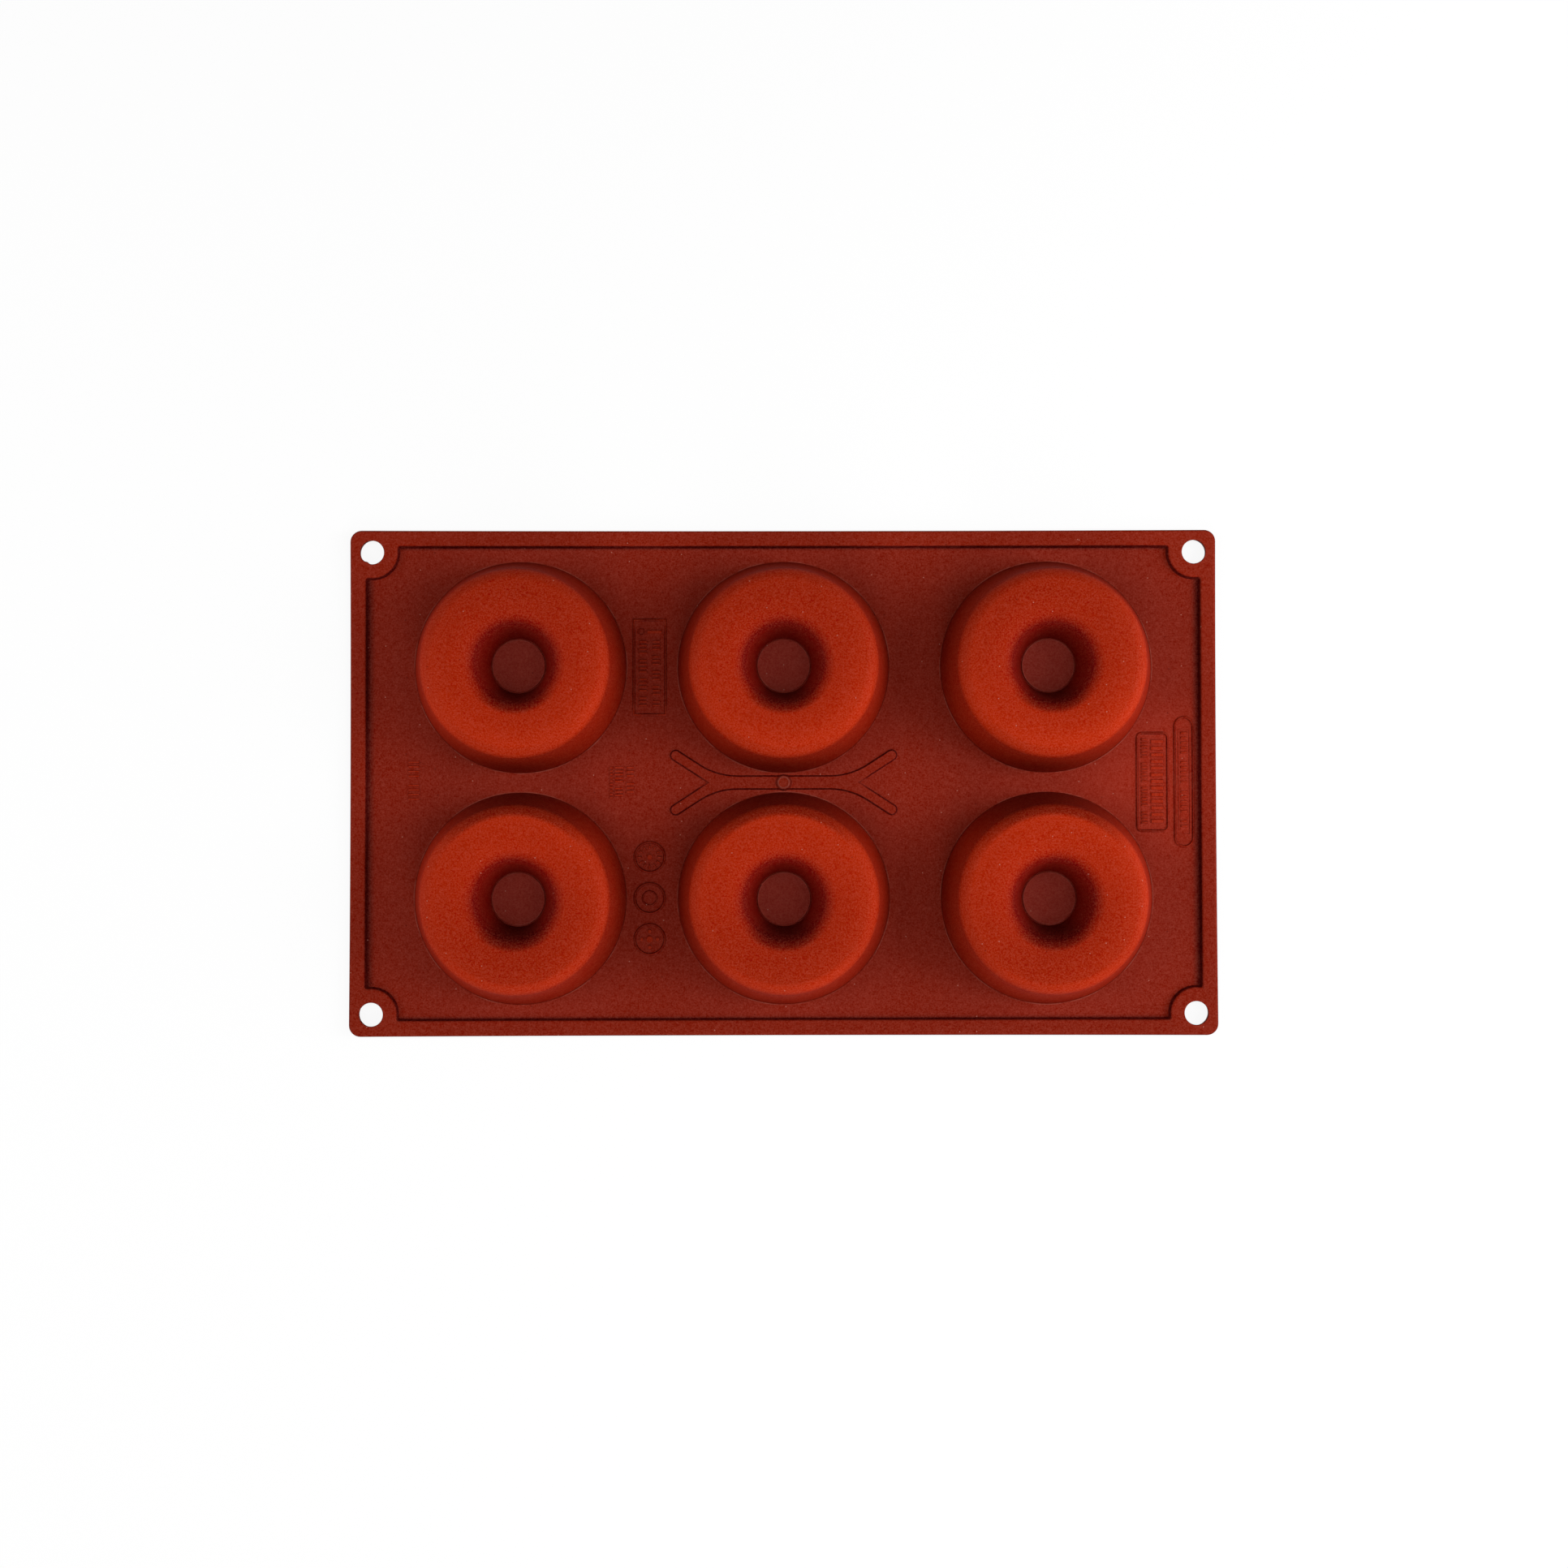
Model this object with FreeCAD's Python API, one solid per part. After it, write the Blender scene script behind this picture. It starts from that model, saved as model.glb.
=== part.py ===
# Silicone baba mould: one moulded sheet with six ring-shaped cavities in three columns and two rows.
#
# The mould lies on its food side, with the outsides of its rings up. The flat food face is on z = 0 and
# holds the six cavity mouths, and the rings stand up from it along +Z. +X runs along the long side of
# the sheet and +Y along the short side. The origin is the middle of the food face.
# All sizes are in millimetres and degrees.

import FreeCAD, Part
import math
import os

# Cavities: how many, how large at the mouth, and what lies between and around them
COLUMNS = 3
ROWS = 2
CAVITY_DIAMETER = 70.9
CAVITY_DEPTH = 23.0
WEB_ALONG = 20.1            # food face left between two mouths along the sheet
WEB_ACROSS = 9.1            # food face left between two mouths across the sheet
MARGIN_ALONG = 23.55        # from the last mouth to the short edge of the sheet
MARGIN_ACROSS = 12.05       # from the last mouth to the long edge of the sheet

# Section of one ring, measured on the food side
WALL = 1.5
POST_DIAMETER = 21.2        # centre post at its top, inside the ring
POST_RECESS = 6.8           # the top of the post lies this far below the food face
OUTER_DRAFT = 13.0          # lean of the outer wall
POST_DRAFT = 14.0           # lean of the post's wall
CROWN_RADIUS = 30.0
OUTER_SHOULDER_RADIUS = 4.0
POST_SHOULDER_RADIUS = 5.5
POST_EDGE_RADIUS = 1.5

# Witness disc left by the core pin on the floor of each well
DISC_STEP = 0.3
DISC_INSET = 0.35

# Sheet and its thicker border
PANEL_THICKNESS = 1.8
BORDER_RISE = 1.9           # height of the border above the panel
BORDER_WIDTH = 5.3          # flat top of the border
BORDER_DRAFT = 20.0         # lean of the border's inner wall
CORNER_RADIUS = 4.0
BORDER_EDGE_RADIUS = 0.8

# Corner holes and the lobes of the border around them
HOLE_DIAMETER = 8.1
HOLE_INSET = 7.65           # from both edges to the middle of the hole
LOBE_WALL = 4.75            # border left around a hole, at its top
LOBE_FILLET = 1.0           # where a lobe meets the straight border

# Forked flow rib between the two middle rings, with the gate boss at its middle
RIB_WIDTH = 4.5
RIB_RISE = 0.8
RIB_ARM_WIDTH = 3.5
RIB_ARM_ANGLE = 33.0
RIB_FORK = 26.1             # from the middle to the notch between two arms
RIB_ARM_REACH = 37.4        # from the middle to the centre of an arm's round end, along the sheet
RIB_BEND_RADIUS = 24.0      # outer edge, where the bar turns into an arm
GATE_DIAMETER = 5.5
GATE_RISE = 0.5             # above the rib

# Raised outlines on the panel, whose fields are bare
MARK_RISE = 0.4
MARK_LINE = 0.8
MARK_SHIFT = 0.9            # the marks between two rings stand this far towards -X of the web's middle
TALL_FRAME_WIDTH = 12.0
TALL_FRAME_LENGTH = 34.0
TALL_FRAME_RADIUS = 0.6
PLATE_FRAME_WIDTH = 11.7
PLATE_FRAME_LENGTH = 35.0
PLATE_FRAME_RADIUS = 2.2
SLOT_FRAME_WIDTH = 7.5
SLOT_FRAME_LENGTH = 45.9
FRAME_GAP = 1.4             # between the two frames at the short edge, and to the border
RING_MARKS = 3
RING_MARK_DIAMETER = 11.4
RING_MARK_PITCH = 14.2

# Layout that follows from the sizes above
PITCH_ALONG = CAVITY_DIAMETER + WEB_ALONG
PITCH_ACROSS = CAVITY_DIAMETER + WEB_ACROSS
SHEET_LENGTH = (COLUMNS - 1) * PITCH_ALONG + CAVITY_DIAMETER + 2 * MARGIN_ALONG
SHEET_WIDTH = (ROWS - 1) * PITCH_ACROSS + CAVITY_DIAMETER + 2 * MARGIN_ACROSS
BORDER_HEIGHT = PANEL_THICKNESS + BORDER_RISE

# How the solids are put together
OVERRUN = 1.0               # how far a cutter runs past the faces that it opens
WELD = 0.3                  # how far a raised detail is sunk into what carries it
SAME_PLACE = 1e-6           # points nearer than this are one point
MM3_IN_CM3 = 1000.0


def tangent(degrees):
    """Run over rise of a wall that leans by this angle."""
    return math.tan(math.radians(degrees))


def unit(a, b):
    """Direction (a, b) at length one."""
    length = math.hypot(a, b)
    return a / length, b / length


def along(point, direction, distance):
    """Point at a distance from another in a direction."""
    return point[0] + distance * direction[0], point[1] + distance * direction[1]


def crossing(point_a, way_a, point_b, way_b):
    """Point where two lines cross, each given by a point and a direction."""
    gap_a, gap_b = point_b[0] - point_a[0], point_b[1] - point_a[1]
    reach = (gap_a * way_b[1] - gap_b * way_b[0]) / (way_a[0] * way_b[1] - way_a[1] * way_b[0])
    return along(point_a, way_a, reach)


def rounded_corner(before, corner, after, radius):
    """Stretch of an outline at one corner: the corner alone, or the start, middle and end of its arc."""
    if radius <= 0:
        return [corner]
    way_back = unit(before[0] - corner[0], before[1] - corner[1])
    way_on = unit(after[0] - corner[0], after[1] - corner[1])
    half_angle = math.acos(way_back[0] * way_on[0] + way_back[1] * way_on[1]) / 2
    bisector = unit(way_back[0] + way_on[0], way_back[1] + way_on[1])
    reach = radius / math.tan(half_angle)
    middle = along(corner, bisector, radius / math.sin(half_angle) - radius)
    return [along(corner, way_back, reach), middle, along(corner, way_on, reach)]


def rounded_polygon(corners):
    """Stretches of a closed outline through corners (a, b, radius)."""
    points = [(a, b) for a, b, radius in corners]
    following = points[1:] + points[:1]
    return [rounded_corner(points[i - 1], points[i], following[i], corners[i][2]) for i in range(len(points))]


def closed_wire(stretches, place):
    """Closed wire over an outline's corners and arcs, with straight lines between them.

    A stretch is one point, or the start, middle and end of an arc. place turns a point into 3D.
    """
    edges = []
    for stretch, following in zip(stretches, stretches[1:] + stretches[:1]):
        points = [place(*point) for point in stretch]
        if len(points) > 1:
            edges.append(Part.Arc(*points).toShape())
        next_start = place(*following[0])
        if (next_start - points[-1]).Length > SAME_PLACE:
            edges.append(Part.LineSegment(points[-1], next_start).toShape())
    return Part.Wire(edges)


def at_height(z):
    """Function that places (x, y) at height z."""
    return lambda x, y: FreeCAD.Vector(x, y, z)


def in_section(r, z):
    """Point of a ring's section: radius from the ring's axis, and height."""
    return FreeCAD.Vector(r, 0, z)


def prism(stretches, z, height):
    """Upright solid over an outline."""
    return Part.Face(closed_wire(stretches, at_height(z))).extrude(FreeCAD.Vector(0, 0, height))


def rounded_box(length_x, length_y, radius, x=0.0, y=0.0):
    """Outline of a rounded rectangle about (x, y)."""
    a, b = length_x / 2, length_y / 2
    return rounded_polygon([(x - a, y - b, radius), (x + a, y - b, radius),
                            (x + a, y + b, radius), (x - a, y + b, radius)])


def ring_centres():
    """Axes of all rings, column by column."""
    return [((i - (COLUMNS - 1) / 2) * PITCH_ALONG, (j - (ROWS - 1) / 2) * PITCH_ACROSS)
            for i in range(COLUMNS) for j in range(ROWS)]


def shoulder_arc(foot, way_up, outward, radius, crown_centre, offset):
    """Arc that rounds a wall into the crown, from the wall to the crown, moved outwards by an offset.

    The wall starts at foot on the food side and climbs along way_up, and outward is its outer normal.
    The arc's centre is a radius inside the wall, and the arc touches the crown's circle from inside.
    """
    inner = along(foot, outward, -radius)
    gap = (inner[0] - crown_centre[0], inner[1] - crown_centre[1])
    lead = gap[0] * way_up[0] + gap[1] * way_up[1]
    span = CROWN_RADIUS - radius
    climb = math.sqrt(lead ** 2 - gap[0] ** 2 - gap[1] ** 2 + span ** 2) - lead
    centre = along(inner, way_up, climb)
    to_crown = unit(centre[0] - crown_centre[0], centre[1] - crown_centre[1])
    to_middle = unit(outward[0] + to_crown[0], outward[1] + to_crown[1])
    return [along(centre, way, radius + offset) for way in (outward, to_middle, to_crown)]


def ring_section(offset):
    """Solid of revolution under a ring's arch: the cavity at offset 0, and the outside at offset WALL.

    The arch is the outer wall, a crown arc with a shoulder arc at each side, the post's wall and its top.
    """
    mouth_radius, post_radius = CAVITY_DIAMETER / 2, POST_DIAMETER / 2
    crown_centre = ((mouth_radius + post_radius) / 2, CAVITY_DEPTH - CROWN_RADIUS)
    crown_top = (crown_centre[0], CAVITY_DEPTH + offset)
    outer_way = unit(-tangent(OUTER_DRAFT), 1)
    outer_normal = (outer_way[1], -outer_way[0])
    post_way = unit(tangent(POST_DRAFT), 1)
    post_normal = (-post_way[1], post_way[0])
    outer_shoulder = shoulder_arc((mouth_radius, 0), outer_way, outer_normal, OUTER_SHOULDER_RADIUS,
                                  crown_centre, offset)
    post_shoulder = shoulder_arc((post_radius, POST_RECESS), post_way, post_normal, POST_SHOULDER_RADIUS,
                                 crown_centre, offset)
    axis_top = (0, POST_RECESS + offset)
    foot = crossing(outer_shoulder[0], outer_way, (0, 0), (1, 0))
    post_corner = crossing(post_shoulder[0], post_way, axis_top, (1, 0))
    outline = [
        [(0, 0)],
        [foot],
        outer_shoulder,
        [outer_shoulder[2], crown_top, post_shoulder[2]],
        post_shoulder[::-1],
        rounded_corner(post_shoulder[0], post_corner, axis_top, POST_EDGE_RADIUS - offset),
        [axis_top],
    ]
    face = Part.Face(closed_wire(outline, in_section))
    return face.revolve(FreeCAD.Vector(0, 0, 0), FreeCAD.Vector(0, 0, 1), 360)


def witness_disc():
    """Low disc on the floor of a well, just inside the corner where the floor meets the well's wall."""
    half_corner = (90 - POST_DRAFT) / 2
    corner_radius = max(POST_EDGE_RADIUS - WALL, 0)
    floor_radius = POST_DIAMETER / 2 - (WALL + corner_radius) * tangent(half_corner)
    floor = POST_RECESS + WALL
    return Part.makeCylinder(floor_radius - DISC_INSET, WELD + DISC_STEP, FreeCAD.Vector(0, 0, floor - WELD))


def border_blank():
    """Full-height sheet, with its upper outer edge rounded."""
    blank = prism(rounded_box(SHEET_LENGTH, SHEET_WIDTH, CORNER_RADIUS), 0, BORDER_HEIGHT)
    top_edges = [edge for edge in blank.Edges if edge.BoundBox.ZMin > BORDER_HEIGHT / 2]
    return blank.makeFillet(BORDER_EDGE_RADIUS, top_edges)


def hole_centres():
    """Middles of the four corner holes, anticlockwise from the corner at -X -Y."""
    x, y = SHEET_LENGTH / 2 - HOLE_INSET, SHEET_WIDTH / 2 - HOLE_INSET
    return [(-x, -y), (x, -y), (x, y), (-x, y)]


def pocket_corner(border, lobe, fillet):
    """Arcs of the pocket's outline at one corner, as distances from the sheet's two edges.

    The lobe is a circle about the hole, and a fillet circle touches it and the straight border.
    The arcs run from the border along X to the border along Y.
    """
    fillet_height = border + fillet - HOLE_INSET
    fillet_reach = math.sqrt((lobe + fillet) ** 2 - fillet_height ** 2)
    hole = (HOLE_INSET, HOLE_INSET)
    fillet_centre = along(hole, (fillet_reach, fillet_height), 1)
    towards_fillet = unit(fillet_reach, fillet_height)
    touch = along(hole, towards_fillet, lobe)
    bisector = unit(-towards_fillet[0], -towards_fillet[1] - 1)
    along_x = [(fillet_centre[0], border), along(fillet_centre, bisector, fillet), touch]
    along_y = [(b, a) for a, b in reversed(along_x)]
    return [along_x, [touch, along(hole, unit(1, 1), lobe), along_y[0]], along_y]


def pocket_outline(growth):
    """Outline of the recessed panel, grown outwards by an amount."""
    lobe = HOLE_DIAMETER / 2 + LOBE_WALL - growth
    arcs = pocket_corner(BORDER_WIDTH - growth, lobe, LOBE_FILLET + growth)
    turned = [arc[::-1] for arc in reversed(arcs)]
    stretches = []
    for side_x, side_y in ((-1, -1), (-1, 1), (1, 1), (1, -1)):
        for arc in arcs if side_x == side_y else turned:
            stretches.append([(side_x * (SHEET_LENGTH / 2 - a), side_y * (SHEET_WIDTH / 2 - b)) for a, b in arc])
    return stretches


def panel_pocket():
    """Cutter that recesses the panel, with the border's leaning inner wall and its lobes."""
    wires = []
    for z in (PANEL_THICKNESS, BORDER_HEIGHT + OVERRUN):
        growth = (z - BORDER_HEIGHT) * tangent(BORDER_DRAFT)
        wires.append(closed_wire(pocket_outline(growth), at_height(z)))
    return Part.makeLoft(wires, True, True)


def flow_rib():
    """Raised bar that forks into two arms at each end."""
    arm_way = unit(1, tangent(RIB_ARM_ANGLE))
    arm_normal = (-arm_way[1], arm_way[0])
    half_arm = RIB_ARM_WIDTH / 2
    notch = (RIB_FORK, 0)
    arm_line = along(notch, arm_normal, half_arm)
    end_centre = crossing(arm_line, arm_way, (RIB_ARM_REACH, 0), (0, 1))
    end = along(end_centre, arm_way, half_arm)
    outer_edge = along(notch, arm_normal, RIB_ARM_WIDTH)
    bend = crossing(outer_edge, arm_way, (0, RIB_WIDTH / 2), (1, 0))
    arm = [
        (*bend, RIB_BEND_RADIUS),
        (*along(end, arm_normal, half_arm), half_arm),
        (*along(end, arm_normal, -half_arm), half_arm),
    ]
    right = arm + [(*notch, 0)] + [(x, -y, radius) for x, y, radius in reversed(arm)]
    left = [(-x, -y, radius) for x, y, radius in right]
    return prism(rounded_polygon(right + left), PANEL_THICKNESS - WELD, WELD + RIB_RISE)


def gate_boss():
    """Round boss on the middle of the flow rib."""
    height = WELD + RIB_RISE + GATE_RISE
    return Part.makeCylinder(GATE_DIAMETER / 2, height, FreeCAD.Vector(0, 0, PANEL_THICKNESS - WELD))


def outline_mark(length_x, length_y, radius, x, y):
    """Raised line on the panel along a rounded rectangle about (x, y)."""
    field = rounded_box(length_x - 2 * MARK_LINE, length_y - 2 * MARK_LINE, radius - MARK_LINE, x, y)
    outside = rounded_box(length_x, length_y, radius, x, y)
    base, height = PANEL_THICKNESS - WELD, WELD + MARK_RISE
    return prism(outside, base, height).cut(prism(field, base - OVERRUN, height + 2 * OVERRUN))


def panel_marks():
    """Frames near the +X edge, and a frame and a row of circles in the web at the middle column's -X side."""
    web_x, row_y = -PITCH_ALONG / 2 - MARK_SHIFT, PITCH_ACROSS / 2
    border_foot = BORDER_WIDTH + BORDER_RISE * tangent(BORDER_DRAFT)
    slot_x = SHEET_LENGTH / 2 - border_foot - FRAME_GAP - SLOT_FRAME_WIDTH / 2
    plate_x = slot_x - SLOT_FRAME_WIDTH / 2 - FRAME_GAP - PLATE_FRAME_WIDTH / 2
    marks = [
        outline_mark(TALL_FRAME_WIDTH, TALL_FRAME_LENGTH, TALL_FRAME_RADIUS, web_x, row_y),
        outline_mark(PLATE_FRAME_WIDTH, PLATE_FRAME_LENGTH, PLATE_FRAME_RADIUS, plate_x, 0),
        outline_mark(SLOT_FRAME_WIDTH, SLOT_FRAME_LENGTH, SLOT_FRAME_WIDTH / 2, slot_x, 0),
    ]
    for k in range(RING_MARKS):
        y = (k - (RING_MARKS - 1) / 2) * RING_MARK_PITCH - row_y
        marks.append(outline_mark(RING_MARK_DIAMETER, RING_MARK_DIAMETER, RING_MARK_DIAMETER / 2, web_x, y))
    return marks


def copies(shape, places):
    """Copies of a shape, one at each place on the sheet."""
    moved = []
    for x, y in places:
        moved.append(shape.copy())
        moved[-1].translate(FreeCAD.Vector(x, y, 0))
    return moved


def mould():
    """The whole moulded sheet as one solid."""
    hole = Part.makeCylinder(HOLE_DIAMETER / 2, BORDER_HEIGHT + 2 * OVERRUN, FreeCAD.Vector(0, 0, -OVERRUN))
    raised = copies(ring_section(WALL), ring_centres()) + copies(witness_disc(), ring_centres())
    raised += [flow_rib(), gate_boss()] + panel_marks()
    cutters = copies(ring_section(0), ring_centres()) + copies(hole, hole_centres())
    sheet = border_blank().cut(panel_pocket()).multiFuse(raised).cut(cutters).removeSplitter()
    return sheet.Solids[0]


def main():
    """Writes the mould to parts/mould.step."""
    os.makedirs("parts", exist_ok=True)
    body = mould()
    print("valid", body.isValid(), "volume", round(body.Volume / MM3_IN_CM3, 2), "cm3")
    body.exportStep("parts/mould.step")


main()
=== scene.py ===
# Silicone baba mould, dressed: the moulded skin with all its small edges, its finish with painted light and
# shade, and a plain stage.
#
# The sheet lies on its food side with the outsides of its six rings up, as in the frame. +X runs along
# the long side and +Y along the short side. Lengths are in metres, written through MM where they are
# given in millimetres.

import math

import bmesh
import bpy
import numpy
from bpy.props import FloatProperty, FloatVectorProperty, IntProperty, PointerProperty
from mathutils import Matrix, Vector
from mathutils.geometry import delaunay_2d_cdt


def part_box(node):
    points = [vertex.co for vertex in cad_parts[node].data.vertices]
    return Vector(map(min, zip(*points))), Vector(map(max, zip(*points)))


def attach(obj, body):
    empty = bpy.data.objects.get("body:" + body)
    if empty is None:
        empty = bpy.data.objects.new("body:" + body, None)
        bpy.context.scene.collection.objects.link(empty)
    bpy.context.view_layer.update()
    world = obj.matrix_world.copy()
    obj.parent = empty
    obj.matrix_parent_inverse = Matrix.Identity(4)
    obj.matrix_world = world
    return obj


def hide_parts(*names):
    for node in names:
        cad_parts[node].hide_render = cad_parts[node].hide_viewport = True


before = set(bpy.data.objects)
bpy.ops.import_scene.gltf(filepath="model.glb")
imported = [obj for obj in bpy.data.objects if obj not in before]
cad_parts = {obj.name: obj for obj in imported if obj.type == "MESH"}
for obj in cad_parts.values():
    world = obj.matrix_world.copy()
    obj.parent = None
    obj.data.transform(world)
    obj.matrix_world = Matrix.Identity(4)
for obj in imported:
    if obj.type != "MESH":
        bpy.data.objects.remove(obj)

bl_info = {
    "name": "Silicone baba mould",
    "version": (1, 0, 0),
    "blender": (4, 5, 0),
    "location": "3D View > Sidebar > Mould",
    "description": "Builds a silicone sheet mould with ring-shaped cavities, its finish and a plain stage",
    "category": "Add Mesh",
}

MM = 0.001
NODE = "mould"
BODY = "root"
SHEET_LOW, SHEET_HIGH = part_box(NODE)

# How finely the skin is divided
FLAT_SPACING = 6.0 * MM             # between the points on a flat face
SIDE_SPACING = 5.0 * MM             # and along a straight side
CHUNK = 400                         # points tested against all sides at once
OUTLINE_TURN = math.radians(12)     # turn of one side in a round stretch of an outline
SMALL_TURN = math.radians(36)       # the same on the small marks
EDGE_TURN = math.radians(22.5)      # turn of one facet across a rounded edge
ARCH_TURN = math.radians(6)         # turn of one facet across a ring's arch
FACET_SAG = 0.006 * MM              # how far a facet may cut into a tight round, whatever the turn
SAME_PLACE = 1e-7                   # points nearer to each other than this are one point
RING_SIDES = 112
HOLE_SIDES = 48

# Small edges that every moulding has
FOOT_RADIUS = 0.25 * MM
CREASE_RADIUS = 0.20 * MM
TOP_EDGE_RADIUS = 0.80 * MM
FOOD_EDGE_RADIUS = 0.35 * MM
MOUTH_RADIUS = 0.5 * MM
HOLE_EDGE_RADIUS = 0.3 * MM
HOLE_FLARE = 0.5 * MM
LANDING = 0.1 * MM                  # flat run left before and after a rounded edge
BOW_REACH = 20 * MM                 # how far in from a side its bow is felt

# Nub of flash in one corner hole
FLASH_BEARING = math.radians(-117)
FLASH_SPREAD = math.radians(11)

# Parting bead round the foot of each ring, and the witness line on each well's floor
BEAD_START = 0.38 * MM              # from the ring's foot to where the section begins, beyond the bead
BEAD_RISE = 0.08 * MM
BEAD_WIDTH = 0.26 * MM
BEAD_GAP = 0.05 * MM
DISC_LIP_RISE = 0.08 * MM
DISC_LIP_WIDTH = 0.3 * MM
WELL_CORNER_RADIUS = 0.3 * MM
DISC_EDGE_RADIUS = 0.07 * MM
FAN_RADIUS = 2.5 * MM               # last circle of a section, closed by a fan


def length(name, description, millimetres):
    """Property for a length, with its default in millimetres."""
    return FloatProperty(name=name, description=description, default=millimetres * MM, min=0.0,
                         unit="LENGTH", precision=5)


def angle(name, description, degrees):
    """Property for an angle, with its default in degrees."""
    return FloatProperty(name=name, description=description, default=math.radians(degrees), subtype="ANGLE")


def colour(name, description, red, green, blue):
    """Property for a colour, with its default as linear red, green and blue."""
    return FloatVectorProperty(name=name, description=description, default=(red, green, blue), size=3,
                               subtype="COLOR", min=0.0, max=1.0)


def share(name, description, default):
    """Property for a value from 0 to 1."""
    return FloatProperty(name=name, description=description, default=default, min=0.0, max=1.0,
                         subtype="FACTOR")


def power(name, description, watts):
    """Property for the power of a lamp."""
    return FloatProperty(name=name, description=description, default=watts, min=0.0, unit="POWER")


class MouldSheetSizes(bpy.types.PropertyGroup):
    """Sizes of the sheet, its border and its corner holes."""
    sheet_length: length("Length", "Long side of the sheet", (SHEET_HIGH[0] - SHEET_LOW[0]) / MM)
    sheet_width: length("Width", "Short side of the sheet", (SHEET_HIGH[1] - SHEET_LOW[1]) / MM)
    columns: IntProperty(name="Columns", description="Rings along the sheet", default=3, min=1)
    rows: IntProperty(name="Rows", description="Rings across the sheet", default=2, min=1)
    web_along: length("Web along", "Food face left between two mouths along the sheet", 20.1)
    web_across: length("Web across", "Food face left between two mouths across the sheet", 9.1)
    panel_thickness: length("Panel", "Thickness of the panel between the rings", 1.8)
    border_rise: length("Border rise", "Height of the border above the panel", 1.9)
    border_width: length("Border width", "Flat top of the border", 5.3)
    border_draft: angle("Border draft", "Lean of the border's inner wall", 20)
    corner_radius: length("Corner radius", "Rounding of the sheet's corners", 4.0)
    border_edge: length("Border edge", "Rounding of the border's outer upper edge", 0.8)
    hole_diameter: length("Hole", "Diameter of a corner hole", 8.1)
    hole_inset: length("Hole inset", "From both edges to the middle of a hole", 7.65)
    lobe_wall: length("Lobe wall", "Border left around a hole", 4.75)
    lobe_fillet: length("Lobe fillet", "Rounding where a lobe meets the straight border", 1.0)
    bow: length("Bow", "How far the middle of each side has sagged inwards", 0.3)
    flash: length("Flash", "Nub of flash left in the hole at -X +Y", 0.45)


class MouldRingSizes(bpy.types.PropertyGroup):
    """Sizes of one ring's section."""
    mouth: length("Mouth", "Diameter of a cavity at the food face", 70.9)
    height: length("Height", "Top of the rings above the food face", (SHEET_HIGH[2] - SHEET_LOW[2]) / MM)
    wall: length("Wall", "Wall thickness of a ring", 1.5)
    post: length("Post", "Diameter of the centre post at its top, inside the ring", 21.2)
    post_recess: length("Post recess", "From the food face to the post's top, inside the cavity", 6.8)
    outer_draft: angle("Outer draft", "Lean of the outer wall", 13)
    post_draft: angle("Post draft", "Lean of the post's wall", 14)
    crown: length("Crown", "Radius of the crown's arc", 30.0)
    outer_shoulder: length("Outer shoulder", "Rounding of the outer wall into the crown", 4.0)
    post_shoulder: length("Post shoulder", "Rounding of the post's wall into the crown", 5.5)
    post_edge: length("Post edge", "Rounding of the post's top edge", 1.5)
    disc_step: length("Disc step", "Height of the witness disc on a well's floor", 0.3)
    disc_inset: length("Disc inset", "From the well's wall to the witness disc", 0.35)


class MouldRibSizes(bpy.types.PropertyGroup):
    """Sizes of the forked flow rib and its gate boss."""
    rib_width: length("Rib width", "Width of the straight bar", 4.5)
    rib_rise: length("Rib rise", "Height above the panel", 0.8)
    rib_draft: angle("Rib draft", "Lean of the rib's sides", 33)
    arm_width: length("Arm width", "Width of one arm of the fork", 3.5)
    arm_angle: angle("Arm angle", "Angle between an arm and the bar", 33)
    fork: length("Fork", "From the middle to the notch between two arms", 26.1)
    arm_reach: length("Arm reach", "From the middle to the centre of an arm's end, along the sheet", 37.4)
    bend: length("Bend", "Radius of the outer edge between bar and arm", 24.0)
    pad: length("Pad", "Diameter of the round pad under the gate boss", 5.2)
    gate: length("Gate", "Diameter of the gate boss at its foot", 4.2)
    gate_rise: length("Gate rise", "Height of the boss above the rib", 0.5)
    gate_draft: angle("Gate draft", "Lean of the boss's side", 10)
    gate_lip: length("Gate lip", "Height of the rim round the boss", 0.08)


class MouldMarkSizes(bpy.types.PropertyGroup):
    """Sizes of the raised lines and plain marks on the panel."""
    rise: length("Rise", "Height of the marks above the panel", 0.4)
    line: length("Line", "Width of a raised line", 0.8)
    tall_width: length("Tall frame width", "Frame between two rings, across", 12.0)
    tall_length: length("Tall frame length", "Frame between two rings, along", 34.0)
    plate_width: length("Plate width", "Frame near the short edge, across", 11.7)
    plate_length: length("Plate length", "Frame near the short edge, along", 35.0)
    corner: length("Plate corner", "Rounding of that frame's corners", 2.2)
    slot_width: length("Slot width", "Round-ended frame, across", 7.5)
    slot_length: length("Slot length", "Round-ended frame, along", 45.9)
    gap: length("Frame gap", "Between the two frames at the short edge, and to the border", 1.4)
    shift: length("Shift", "How far the marks between two rings stand towards -X of the middle", 0.9)
    circle: length("Circle", "Diameter of a circle mark", 11.4)
    circle_pitch: length("Circle pitch", "Distance between the circle marks", 14.2)
    fine_rise: length("Fine rise", "Height of the small plain marks", 0.3)
    fine_line: length("Fine line", "Width of the small plain marks", 0.5)


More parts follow.
